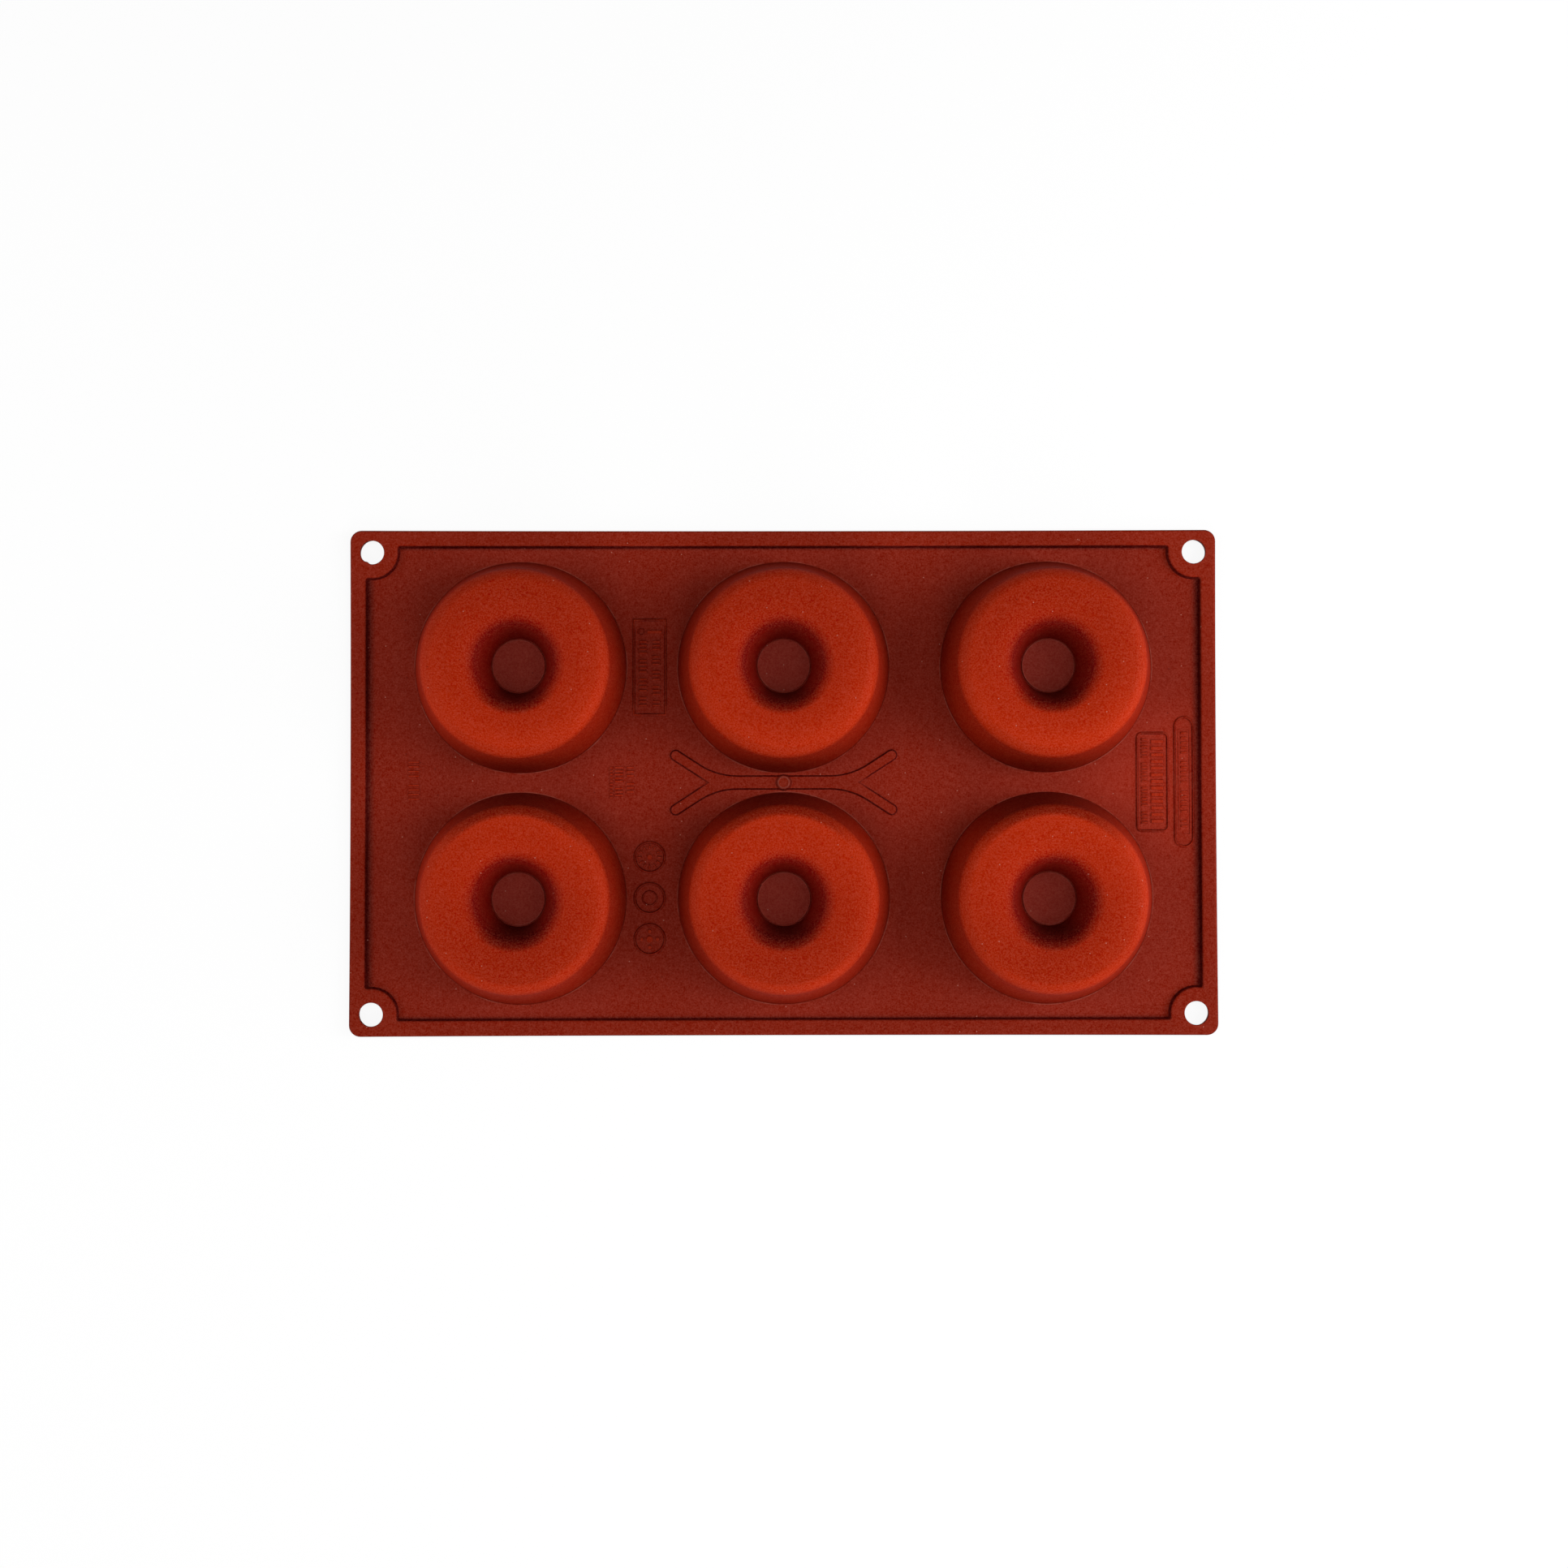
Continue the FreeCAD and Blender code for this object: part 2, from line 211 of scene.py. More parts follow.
class MouldFinish(bpy.types.PropertyGroup):
    """Colours and surface of the silicone, with painted light and shade."""
    panel: colour("Panel", "Recessed panel near the rings", 0.222, 0.0183, 0.0083)
    open_panel: colour("Open panel", "Recessed panel well away from the rings", 0.214, 0.0158, 0.0062)
    border: colour("Border", "Border and rib", 0.214, 0.0156, 0.0054)
    # Painted shade: dark colour of steep sides, of the core of the painted shade along the border's foot, and
    # of the dark lines at the rings' feet and round the gate.
    painted_deep_shade: colour("Crease", "Steep sides of the border, the rib and the marks", 0.070, 0.0025, 0.0012)
    # Painted shade along the foot of the border.
    shade: colour("Shade", "Panel along the foot of the border", 0.085, 0.0105, 0.0070)
    # Painted light: the crowns are paler than the panel, where they catch more light.
    crown: colour("Crown", "Rubbed crowns of the rings", 0.338, 0.0195, 0.0032)
    # Painted highlight on the outer part of each crown, and on the tops of the marks.
    rim: colour("Rim", "Outer edges of the crowns, which are rubbed the most", 0.363, 0.0225, 0.0042)
    # Painted shade on the rings' outer walls.
    side: colour("Side", "Outer walls of the rings", 0.170, 0.0075, 0.0014)
    # Painted shade on the walls of the wells.
    post: colour("Post", "Walls of the wells", 0.148, 0.0042, 0.0006)
    # Painted light: the wells' floors are paler than the panel, for the light that falls on them from above.
    well: colour("Well", "Floors of the wells", 0.268, 0.0296, 0.0183)
    # Colour of the real dust specks, and of the painted highlights along the fine moulding lines.
    bloom_and_painted_highlight: colour("Bloom", "Dust and bloom on edges", 0.42, 0.16, 0.12)
    # Painted light: the crowns are paler near the sheet's middle line than at its long edges.
    painted_middle_light: share("Wear", "How much more the crowns are rubbed at the middle than at the long edges", 0.28)
    pale_end: share("Pale end", "How much paler the panel is at the middle of the +X edge", 0.30)
    # Painted shade on ring walls that face +Y or the other row, and painted light on outer walls at the -Y
    # edge.
    painted_wall_shade: share("Sheltered", "How much darker a ring's walls are where they face +Y", 0.46)
    # Painted light: the border is made paler towards +Y than at -Y.
    fade: share("Fade", "How much paler the border is at +Y than at -Y", 0.16)
    # Painted highlight on the tops of the marks.
    painted_lit: share("Rubbed", "How pale the tops of the marks are", 0.5)
    grain: share("Grain", "Strength of the fine speckle on the crowns", 0.26)
    low_grain: share("Low grain", "Strength of the fine speckle on the sheet", 0.18)
    mottle: share("Mottle", "Strength of the speckle's coarser part, on the sheet", 0.06)
    dust: share("Dust", "Strength of the dust specks", 0.75)
    grain_size: length("Grain size", "Size of the fine speckle", 0.55)
    relief: length("Relief", "Depth of the moulded grain", 0.03)


class MouldStage(bpy.types.PropertyGroup):
    """Floor, lamps and camera."""
    key_low: power("Key, low", "Soft lamp low at the +X side", 6.9)
    key_high: power("Key, high", "Soft lamp halfway up at the +X side", 2.9)
    fill_low: power("Fill, low", "Soft lamp low at the -X side", 3.8)
    fill_high: power("Fill, high", "Soft lamp halfway up at the -X side", 3.6)
    front: power("Front", "Soft low lamp at the -Y side", 5.1)
    top: power("Top", "Soft lamp above", 0.9)
    sky: share("Sky", "Even light from all round", 0.10)
    floor_white: share("Floor", "Lightness of the floor for the light that it throws back", 0.90)
    floor_shade: share("Floor shade", "Share of the floor's seen white that takes the shadow", 0.10)
    camera_height: length("Camera height", "Camera above the food face", 750)
    lens: FloatProperty(name="Lens", description="Focal length in millimetres", default=49.6, subtype="NONE")


# Outlines and sections are lists of stretches. A stretch is one point, or an arc's start, middle and end.


def unit(a, b):
    """Direction (a, b) at length one."""
    size = math.hypot(a, b)
    return a / size, b / size


def along(point, direction, distance):
    """Point at a distance from another in a direction."""
    return point[0] + distance * direction[0], point[1] + distance * direction[1]


def crossing(point_a, way_a, point_b, way_b):
    """Point where two lines cross, each given by a point and a direction."""
    gap_a, gap_b = point_b[0] - point_a[0], point_b[1] - point_a[1]
    reach = (gap_a * way_b[1] - gap_b * way_b[0]) / (way_a[0] * way_b[1] - way_a[1] * way_b[0])
    return along(point_a, way_a, reach)


def rounded_corner(before, corner, after, radius):
    """Stretch at one corner: the corner alone, or its arc."""
    if radius <= 0:
        return [corner]
    way_back = unit(before[0] - corner[0], before[1] - corner[1])
    way_on = unit(after[0] - corner[0], after[1] - corner[1])
    half_angle = math.acos(way_back[0] * way_on[0] + way_back[1] * way_on[1]) / 2
    bisector = unit(way_back[0] + way_on[0], way_back[1] + way_on[1])
    reach = radius / math.tan(half_angle)
    middle = along(corner, bisector, radius / math.sin(half_angle) - radius)
    return [along(corner, way_back, reach), middle, along(corner, way_on, reach)]


def rounded_polygon(corners):
    """Stretches of a closed outline through corners (a, b, radius)."""
    points = [(a, b) for a, b, radius in corners]
    following = points[1:] + points[:1]
    return [rounded_corner(points[i - 1], points[i], following[i], corners[i][2]) for i in range(len(points))]


def rounded_path(corners):
    """Stretches of an open section through corners (a, b, radius)."""
    points = [(a, b) for a, b, radius in corners]
    inner = [rounded_corner(points[i - 1], points[i], points[i + 1], corners[i][2])
             for i in range(1, len(points) - 1)]
    return [[points[0]], *inner, [points[-1]]]


def arc_points(start, middle, end, turn):
    """Points along the arc through three points, one for each step of turn, both ends included.

    A tight arc takes wider steps, as far as the sag of its facets allows.
    """
    (ax, ay), (bx, by), (cx, cy) = start, middle, end
    double_area = 2 * (ax * (by - cy) + bx * (cy - ay) + cx * (ay - by))
    a2, b2, c2 = ax * ax + ay * ay, bx * bx + by * by, cx * cx + cy * cy
    x = (a2 * (by - cy) + b2 * (cy - ay) + c2 * (ay - by)) / double_area
    y = (a2 * (cx - bx) + b2 * (ax - cx) + c2 * (bx - ax)) / double_area
    radius = math.hypot(ax - x, ay - y)
    first = math.atan2(ay - y, ax - x)
    sweep = (math.atan2(cy - y, cx - x) - first) % math.tau
    if double_area < 0:
        sweep -= math.tau
    widest = 2 * math.acos(max(0.0, 1 - FACET_SAG / radius))
    steps = max(2, math.ceil(abs(sweep) / max(turn, widest)))
    bearings = [first + sweep * k / steps for k in range(steps + 1)]
    return [(x + radius * math.cos(bearing), y + radius * math.sin(bearing)) for bearing in bearings]


def between(start, end, spacing):
    """Points that divide a straight line into steps no longer than the spacing, without its ends."""
    steps = max(1, math.ceil(math.dist(start, end) / spacing))
    return [tuple(a + (b - a) * k / steps for a, b in zip(start, end)) for k in range(1, steps)]


def sampled(stretches, turn, spacing=SIDE_SPACING, closed=True):
    """Points along an outline or section."""
    points = []
    last = len(stretches) - 1
    for i, stretch in enumerate(stretches):
        points += arc_points(*stretch, turn) if len(stretch) > 1 else stretch
        if closed or i < last:
            points += between(points[-1], stretches[(i + 1) % len(stretches)][0], spacing)
    kept = [p for i, p in enumerate(points) if i == 0 or math.dist(p, points[i - 1]) > SAME_PLACE]
    if closed and math.dist(kept[0], kept[-1]) < SAME_PLACE:
        kept.pop()
    return kept


def anticlockwise(outline):
    """The outline, turned round if it runs clockwise."""
    following = outline[1:] + outline[:1]
    area = sum(x1 * y2 - x2 * y1 for (x1, y1), (x2, y2) in zip(outline, following))
    return outline if area > 0 else outline[::-1]


def widened(outline, distance):
    """Anticlockwise outline moved outwards by a distance."""
    moved = []
    following = outline[1:] + outline[:1]
    for i, (x, y) in enumerate(outline):
        before, after = outline[i - 1], following[i]
        in_x, in_y = unit(y - before[1], before[0] - x)
        out_x, out_y = unit(after[1] - y, x - after[0])
        scale = distance / (1 + in_x * out_x + in_y * out_y)
        moved.append((x + scale * (in_x + out_x), y + scale * (in_y + out_y)))
    return moved


def box_outline(length_x, length_y, radius, x=0.0, y=0.0):
    """Stretches of a rounded rectangle about (x, y)."""
    a, b = length_x / 2, length_y / 2
    return rounded_polygon([(x - a, y - b, radius), (x + a, y - b, radius),
                            (x + a, y + b, radius), (x - a, y + b, radius)])


def circle(radius, sides, x=0.0, y=0.0):
    """Points of a circle about (x, y)."""
    return [(x + radius * math.cos(math.tau * k / sides), y + radius * math.sin(math.tau * k / sides))
            for k in range(sides)]


def inside(points, sides):
    """Which points lie inside closed outlines, by counting the sides that each has to its right."""
    start_x, start_y, end_x, end_y = sides.T
    answers = []
    for first in range(0, len(points), CHUNK):
        x, y = points[first:first + CHUNK, :1], points[first:first + CHUNK, 1:]
        spans = (start_y > y) != (end_y > y)
        with numpy.errstate(divide="ignore", invalid="ignore"):
            reach = start_x + (y - start_y) * (end_x - start_x) / (end_y - start_y)
        answers.append((spans & (x < reach)).sum(axis=1) % 2 == 1)
    return numpy.concatenate(answers)


def grid_points(sides, spacing):
    """Staggered grid of points inside closed outlines, clear of their corners."""
    low, high = sides[:, :2].min(axis=0), sides[:, :2].max(axis=0)
    columns = numpy.arange(low[0] + spacing / 2, high[0], spacing)
    rows = numpy.arange(low[1] + spacing / 2, high[1], spacing)
    grid = numpy.array([(x + (j % 2) * spacing / 2, y) for j, y in enumerate(rows) for x in columns])
    if len(grid) == 0:
        return []
    kept = grid[inside(grid, sides)]
    clear = []
    for first in range(0, len(kept), CHUNK):
        part = kept[first:first + CHUNK]
        gaps = numpy.hypot(part[:, :1] - sides[:, 0], part[:, 1:] - sides[:, 1]).min(axis=1)
        clear.extend(part[gaps > spacing / 2])
    return clear


class Skin:
    """Gathers the points and faces of one closed skin."""

    def __init__(self):
        self.points = []
        self.faces = []

    def row(self, outline, height):
        """Adds a closed row of points at a height, and returns their numbers."""
        first = len(self.points)
        self.points.extend((x, y, height) for x, y in outline)
        return list(range(first, len(self.points)))

    def bridge(self, row_a, row_b):
        """Faces between two closed rows with as many points."""
        for i in range(len(row_a)):
            self.faces.append((row_a[i - 1], row_a[i], row_b[i], row_b[i - 1]))

    def climb(self, outline, section):
        """Wall along an outline, with a row for each (offset, height) of a section. Returns its end rows."""
        rows = [self.row(widened(outline, offset), height) for offset, height in section]
        for row_a, row_b in zip(rows, rows[1:]):
            self.bridge(row_a, row_b)
        return rows[0], rows[-1]

    def turn(self, centre, section, sides):
        """Wall round an axis, with a circle for each (radius, height) of a section, closed by a fan."""
        rows = [self.row(circle(radius, sides, *centre), height) for radius, height in section]
        for row_a, row_b in zip(rows, rows[1:]):
            self.bridge(row_a, row_b)
        self.points.append((*centre, section[-1][1]))
        middle = len(self.points) - 1
        for i in range(sides):
            self.faces.append((rows[-1][i - 1], rows[-1][i], middle))
        return rows[0]

    def cap(self, row):
        """Closes a small convex row with one flat face."""
        self.faces.append(tuple(row))

    def fill(self, outer, holes=(), spacing=FLAT_SPACING):
        """Flat face inside one row and outside the others."""
        rows = [outer, *holes]
        numbers = [number for row in rows for number in row]
        height = self.points[outer[0]][2]
        place = {number: i for i, number in enumerate(numbers)}
        edges = [(place[row[i - 1]], place[row[i]]) for row in rows for i in range(len(row))]
        flat = [Vector(self.points[number][:2]) for number in numbers]
        sides = numpy.array([(*flat[a], *flat[b]) for a, b in edges])
        flat += [Vector(point) for point in grid_points(sides, spacing)]
        found, _, triangles, sources, _, _ = delaunay_2d_cdt(flat, edges, [], 0, SAME_PLACE, True)
        for i, point in enumerate(found):
            known = [k for k in sources[i] if k < len(numbers)]
            if known:
                sources[i] = numbers[known[0]]
            else:
                self.points.append((*point, height))
                sources[i] = len(self.points) - 1
        corners = numpy.array([[tuple(found[k]) for k in triangle] for triangle in triangles])
        kept = inside(corners.mean(axis=1), sides)
        for triangle, keep in zip(triangles, kept):
            if keep:
                self.faces.append(tuple(sources[k] for k in triangle))

    def object(self, name, bow):
        """The skin as a smooth-shaded object, after a function has moved its points."""
        mesh = bpy.data.meshes.new(name)
        mesh.from_pydata([bow(point) for point in self.points], [], self.faces)
        work = bmesh.new()
        work.from_mesh(mesh)
        bmesh.ops.recalc_face_normals(work, faces=work.faces)
        loose = [edge for edge in work.edges if len(edge.link_faces) != 2]
        if loose:
            raise RuntimeError("the skin is open at %d edges" % len(loose))
        work.to_mesh(mesh)
        work.free()
        mesh.polygons.foreach_set("use_smooth", [True] * len(mesh.polygons))
        skin = bpy.data.objects.new(name, mesh)
        bpy.context.scene.collection.objects.link(skin)
        weights = skin.modifiers.new("Even shading", "WEIGHTED_NORMAL")
        weights.keep_sharp = False
        return skin


# Layout


def pitches(sheet, ring):
    """Distance between two rings along and across the sheet."""
    return ring.mouth + sheet.web_along, ring.mouth + sheet.web_across


def ring_centres(sheet, ring):
    """Axes of all rings, column by column."""
    pitch_x, pitch_y = pitches(sheet, ring)
    return [((i - (sheet.columns - 1) / 2) * pitch_x, (j - (sheet.rows - 1) / 2) * pitch_y)
            for i in range(sheet.columns) for j in range(sheet.rows)]


def hole_centres(sheet):
    """Middles of the four corner holes, anticlockwise from the corner at -X -Y."""
    x, y = sheet.sheet_length / 2 - sheet.hole_inset, sheet.sheet_width / 2 - sheet.hole_inset
    return [(-x, -y), (x, -y), (x, y), (-x, y)]


def foot_radius(sheet, ring):
    """Radius of a ring's outside where it meets the panel."""
    lean = sheet.panel_thickness * math.tan(ring.outer_draft)
    return ring.mouth / 2 + ring.wall / math.cos(ring.outer_draft) - lean


def floor_radius(ring):
    """Radius of a well's floor where it meets the post's wall."""
    return ring.post / 2 - ring.wall / math.cos(ring.post_draft) + ring.wall * math.tan(ring.post_draft)


def border_height(sheet):
    """Top of the border above the food face."""
    return sheet.panel_thickness + sheet.border_rise


def border_foot(sheet):
    """Width of the border where its inner wall meets the panel."""
    return sheet.border_width + sheet.border_rise * math.tan(sheet.border_draft)


# Sheet


def pocket_corner(sheet):
    """Arcs of the pocket's outline at one corner, as distances from the sheet's two edges.

    The lobe is a circle about the hole, and a fillet circle touches it and the straight border.
    """
    border, fillet, inset = sheet.border_width, sheet.lobe_fillet, sheet.hole_inset
    lobe = sheet.hole_diameter / 2 + sheet.lobe_wall
    fillet_height = border + fillet - inset
    fillet_reach = math.sqrt((lobe + fillet) ** 2 - fillet_height ** 2)
    hole = (inset, inset)
    fillet_centre = along(hole, (fillet_reach, fillet_height), 1)
    towards_fillet = unit(fillet_reach, fillet_height)
    touch = along(hole, towards_fillet, lobe)
    bisector = unit(-towards_fillet[0], -towards_fillet[1] - 1)
    along_x = [(fillet_centre[0], border), along(fillet_centre, bisector, fillet), touch]
    along_y = [(b, a) for a, b in reversed(along_x)]
    return [along_x, [touch, along(hole, unit(1, 1), lobe), along_y[0]], along_y]


def pocket_outline(sheet):
    """Points of the pocket's outline at the top of the border."""
    arcs = pocket_corner(sheet)
    turned = [arc[::-1] for arc in reversed(arcs)]
    half_x, half_y = sheet.sheet_length / 2, sheet.sheet_width / 2
    stretches = []
    for side_x, side_y in ((-1, -1), (-1, 1), (1, 1), (1, -1)):
        for arc in arcs if side_x == side_y else turned:
            stretches.append([(side_x * (half_x - a), side_y * (half_y - b)) for a, b in arc])
    return anticlockwise(sampled(stretches, OUTLINE_TURN))


def add_border(skin, sheet):
    """Outer side, pocket wall, corner holes and top of the border. Returns the rows on both flat faces."""
    top, panel = border_height(sheet), sheet.panel_thickness
    outline = sampled(box_outline(sheet.sheet_length, sheet.sheet_width, sheet.corner_radius), OUTLINE_TURN)
    side = rounded_path([(-FOOD_EDGE_RADIUS - LANDING, 0, 0), (0, 0, FOOD_EDGE_RADIUS),
                         (0, top, sheet.border_edge), (-sheet.border_edge - LANDING, top, 0)])
    food_edge, border_edge = skin.climb(outline, sampled(side, EDGE_TURN, closed=False))
    lean = sheet.border_rise * math.tan(sheet.border_draft)
    wall = rounded_path([(TOP_EDGE_RADIUS + LANDING, top, 0), (0, top, TOP_EDGE_RADIUS),
                         (-lean, panel, CREASE_RADIUS), (-lean - CREASE_RADIUS - LANDING, panel, 0)])
    pocket_top, pocket_foot = skin.climb(pocket_outline(sheet), sampled(wall, EDGE_TURN, closed=False))
    hole_tops, hole_feet = [], []
    bore = rounded_path([(HOLE_EDGE_RADIUS + LANDING, top, 0), (0, top, HOLE_EDGE_RADIUS),
                         (HOLE_FLARE, 0, HOLE_EDGE_RADIUS), (HOLE_FLARE + HOLE_EDGE_RADIUS + LANDING, 0, 0)])
    for x, y in hole_centres(sheet):
        flash = sheet.flash if x < 0 < y else 0
        outline = hole_outline(sheet.hole_diameter / 2, flash, x, y)
        hole_top, hole_foot = skin.climb(outline, sampled(bore, EDGE_TURN, closed=False))
        hole_tops.append(hole_top)
        hole_feet.append(hole_foot)
    skin.fill(border_edge, [pocket_top, *hole_tops])
    return food_edge, hole_feet, pocket_foot


def hole_outline(radius, flash, x, y):
    """Points of a hole, with a nub of flash that grows into it."""
    points = []
    for k in range(HOLE_SIDES):
        bearing = math.tau * k / HOLE_SIDES
        away = (bearing - FLASH_BEARING + math.pi) % math.tau - math.pi
        reach = radius - flash * math.exp(-(away / FLASH_SPREAD) ** 2)
        points.append((x + reach * math.cos(bearing), y + reach * math.sin(bearing)))
    return points


# Rings


def shoulder_arc(ring, foot, way_up, outward, radius, crown_centre, offset):
    """Arc that rounds a wall into the crown, from the wall to the crown, moved outwards by an offset."""
    inner = along(foot, outward, -radius)
    gap = (inner[0] - crown_centre[0], inner[1] - crown_centre[1])
    lead = gap[0] * way_up[0] + gap[1] * way_up[1]
    span = ring.crown - radius
    climb = math.sqrt(lead ** 2 - gap[0] ** 2 - gap[1] ** 2 + span ** 2) - lead
    centre = along(inner, way_up, climb)
    to_crown = unit(centre[0] - crown_centre[0], centre[1] - crown_centre[1])
    to_middle = unit(outward[0] + to_crown[0], outward[1] + to_crown[1])
    return [along(centre, way, radius + offset) for way in (outward, to_middle, to_crown)]


def ring_arch(ring, offset):
    """Shoulder arcs and ways up of both walls, and the crown's arc, from the outside inwards."""
    mouth_radius, post_radius = ring.mouth / 2, ring.post / 2
    depth = ring.height - ring.wall
    crown_centre = ((mouth_radius + post_radius) / 2, depth - ring.crown)
    outer_way = unit(-math.tan(ring.outer_draft), 1)
    post_way = unit(math.tan(ring.post_draft), 1)
    outer = shoulder_arc(ring, (mouth_radius, 0), outer_way, (outer_way[1], -outer_way[0]),
                         ring.outer_shoulder, crown_centre, offset)
    post = shoulder_arc(ring, (post_radius, ring.post_recess), post_way, (-post_way[1], post_way[0]),
                        ring.post_shoulder, crown_centre, offset)
    crown = [outer[2], (crown_centre[0], depth + offset), post[2]]
    return outer, outer_way, crown, post, post_way


def outside_section(sheet, ring):
    """Section of a ring's outside, from the panel over the crown down to the floor of its well."""
    outer, outer_way, crown, post, post_way = ring_arch(ring, ring.wall)
    panel, floor = sheet.panel_thickness, ring.post_recess + ring.wall
    foot = crossing(outer[0], outer_way, (0, panel), (1, 0))
    corner = crossing(post[0], post_way, (0, floor), (1, 0))
    disc = corner[0] - ring.disc_inset
    disc_top = floor + ring.disc_step
    bead = foot[0] + BEAD_GAP + BEAD_WIDTH
    stretches = [
        [(foot[0] + BEAD_START, panel)],
        [(bead, panel), (bead - BEAD_WIDTH / 2, panel + BEAD_RISE), (bead - BEAD_WIDTH, panel)],
        [foot],
        outer,
        crown,
        post[::-1],
        rounded_corner(post[0], corner, (0, floor), min(WELL_CORNER_RADIUS, ring.disc_inset / 2)),
        *rounded_path([(disc + LANDING / 2, floor, 0), (disc, floor, 0),
                       (disc, disc_top + DISC_LIP_RISE, DISC_EDGE_RADIUS),
                       (disc - DISC_LIP_WIDTH, disc_top + DISC_LIP_RISE, DISC_EDGE_RADIUS),
                       (disc - DISC_LIP_WIDTH - DISC_LIP_RISE, disc_top, 0)])[1:],
        [(FAN_RADIUS, disc_top)],
    ]
    return sampled(stretches, ARCH_TURN, closed=False)


def cavity_section(ring):
    """Section of a cavity, from the food face over the crown down to the top of its post."""
    outer, outer_way, crown, post, post_way = ring_arch(ring, 0)
    foot = (ring.mouth / 2, 0)
    start = (foot[0] + MOUTH_RADIUS + LANDING, 0)
    corner = (ring.post / 2, ring.post_recess)
    stretches = [
        [start],
        rounded_corner(start, foot, outer[0], MOUTH_RADIUS),
        outer,
        crown,
        post[::-1],
        rounded_corner(post[0], corner, (0, ring.post_recess), ring.post_edge),
        [(FAN_RADIUS, ring.post_recess)],
    ]
    return sampled(stretches, ARCH_TURN, closed=False)


# Rib

RIB_TURN = math.radians(5)
RIB_CREASE_RADIUS = 0.25 * MM
RIB_EDGE_RADIUS = 0.30 * MM
RIB_EDGE_RUN = 0.6                  # flat run beside the rib's rounded edges, over their radius


def rib_outline(rib):
    """Points of the rib's outline at half its height: a bar that forks at both ends, and a round pad."""
    arm_way = unit(1, math.tan(rib.arm_angle))
    arm_normal = (-arm_way[1], arm_way[0])
    half_arm, half_bar = rib.arm_width / 2, rib.rib_width / 2
    notch = (rib.fork, 0)
    arm_line = along(notch, arm_normal, half_arm)
    end_centre = crossing(arm_line, arm_way, (rib.arm_reach, 0), (0, 1))
    end = along(end_centre, arm_way, half_arm)
    outer_edge = along(notch, arm_normal, rib.arm_width)
    bend = crossing(outer_edge, arm_way, (0, half_bar), (1, 0))
    arm = [
        (*bend, rib.bend),
        (*along(end, arm_normal, half_arm), half_arm),
        (*along(end, arm_normal, -half_arm), half_arm),
    ]
    right = arm + [(*notch, 0)] + [(x, -y, radius) for x, y, radius in reversed(arm)]
    left = [(-x, -y, radius) for x, y, radius in right]
    stretches = rounded_polygon(right + left)
    pad_radius = rib.pad / 2
    pad_reach = math.sqrt(pad_radius ** 2 - half_bar ** 2)
    lower_pad = [(pad_reach, -half_bar), (0, -pad_radius), (-pad_reach, -half_bar)]
    upper_pad = [(-x, -y) for x, y in lower_pad]
    stretches = stretches[:len(right)] + [lower_pad] + stretches[len(right):] + [upper_pad]
    return anticlockwise(sampled(stretches, RIB_TURN))


def add_rib(skin, sheet, rib):
    """Flow rib with its gate boss. Returns the rib's foot row on the panel."""
    panel = sheet.panel_thickness
    top = panel + rib.rib_rise
    half_lean = rib.rib_rise * math.tan(rib.rib_draft) / 2
    side = rounded_path([
        (half_lean + RIB_CREASE_RADIUS * RIB_EDGE_RUN, panel, 0),
        (half_lean, panel, RIB_CREASE_RADIUS),
        (-half_lean, top, RIB_EDGE_RADIUS),
        (-half_lean - RIB_EDGE_RADIUS * RIB_EDGE_RUN, top, 0),
    ])
    foot, rib_top = skin.climb(rib_outline(rib), sampled(side, EDGE_TURN, closed=False))
    lean = rib.gate_rise * math.tan(rib.gate_draft)
    rim = rib.gate / 2 - lean
    crest = top + rib.gate_rise + rib.gate_lip
    boss = sampled(rounded_path([
        (rib.gate / 2, top, 0),
        (rim, crest, DISC_EDGE_RADIUS),
        (rim - DISC_LIP_WIDTH, crest, DISC_EDGE_RADIUS),
        (rim - DISC_LIP_WIDTH - rib.gate_lip, crest - rib.gate_lip, 0),
        (rim / 2, crest - rib.gate_lip, 0),
    ]), EDGE_TURN, closed=False)
    boss_foot = skin.turn((0, 0), boss, HOLE_SIDES)
    skin.fill(rib_top, [boss_foot], SIDE_SPACING)
    return foot


# Raised lines and plain marks on the panel

MARK_EDGE = 0.1 * MM
FINE_EDGE = 0.07 * MM
MARK_DRAFT = math.radians(36)
LINE_TURN = math.radians(45)
LINE_OUTER, LINE_INNER = 0.65, 1.3  # from a line's outer foot to its crest and its inner foot, over its width

# Contents of the frame between two rings, over its width and length
TALL_HEADER = 0.36                  # from the middle up to the header
TALL_RING = 0.24                    # size of the header's circle, and how far it stands towards -X
TALL_BAR = (0.14, 0.42)             # place and length of the header's bar
TALL_BOLD = 2                       # width of that bar, over a fine line's
TALL_COLUMN = 0.19                  # from the middle line to each column of bars
TALL_SPAN = (0.26, 0.42)            # reach of the columns above and below the middle
TALL_COLUMN_BAR = 0.22
TALL_STEP = 2.6                     # from bar to bar, over a fine line's width
TALL_SKIPPED = (5, 4)               # in each column, which bar in every so many is left out

# Contents of the round-ended frame: a field within a lower, finer line, over the frame's width
FIELD_SIZE = (0.6, 1.2)             # width, and how much shorter than the frame
FIELD_LINE, FIELD_RISE = 0.8, 0.5
SLOT_BAR, SLOT_MARGIN, SLOT_STEP, SLOT_SKIPPED = 0.3, 3.0, 3.4, 6

# The other frame's columns: place and bar length over its width, top over the reach, step over a fine line,
# which bar is left out, and how bold
PLATE_REACH = 0.42
PLATE_COLUMNS = ((-0.24, 0.18, 1.0, 2.4, 7, 1.0), (0.14, 0.36, 0.95, 4.6, 0, 2.2))

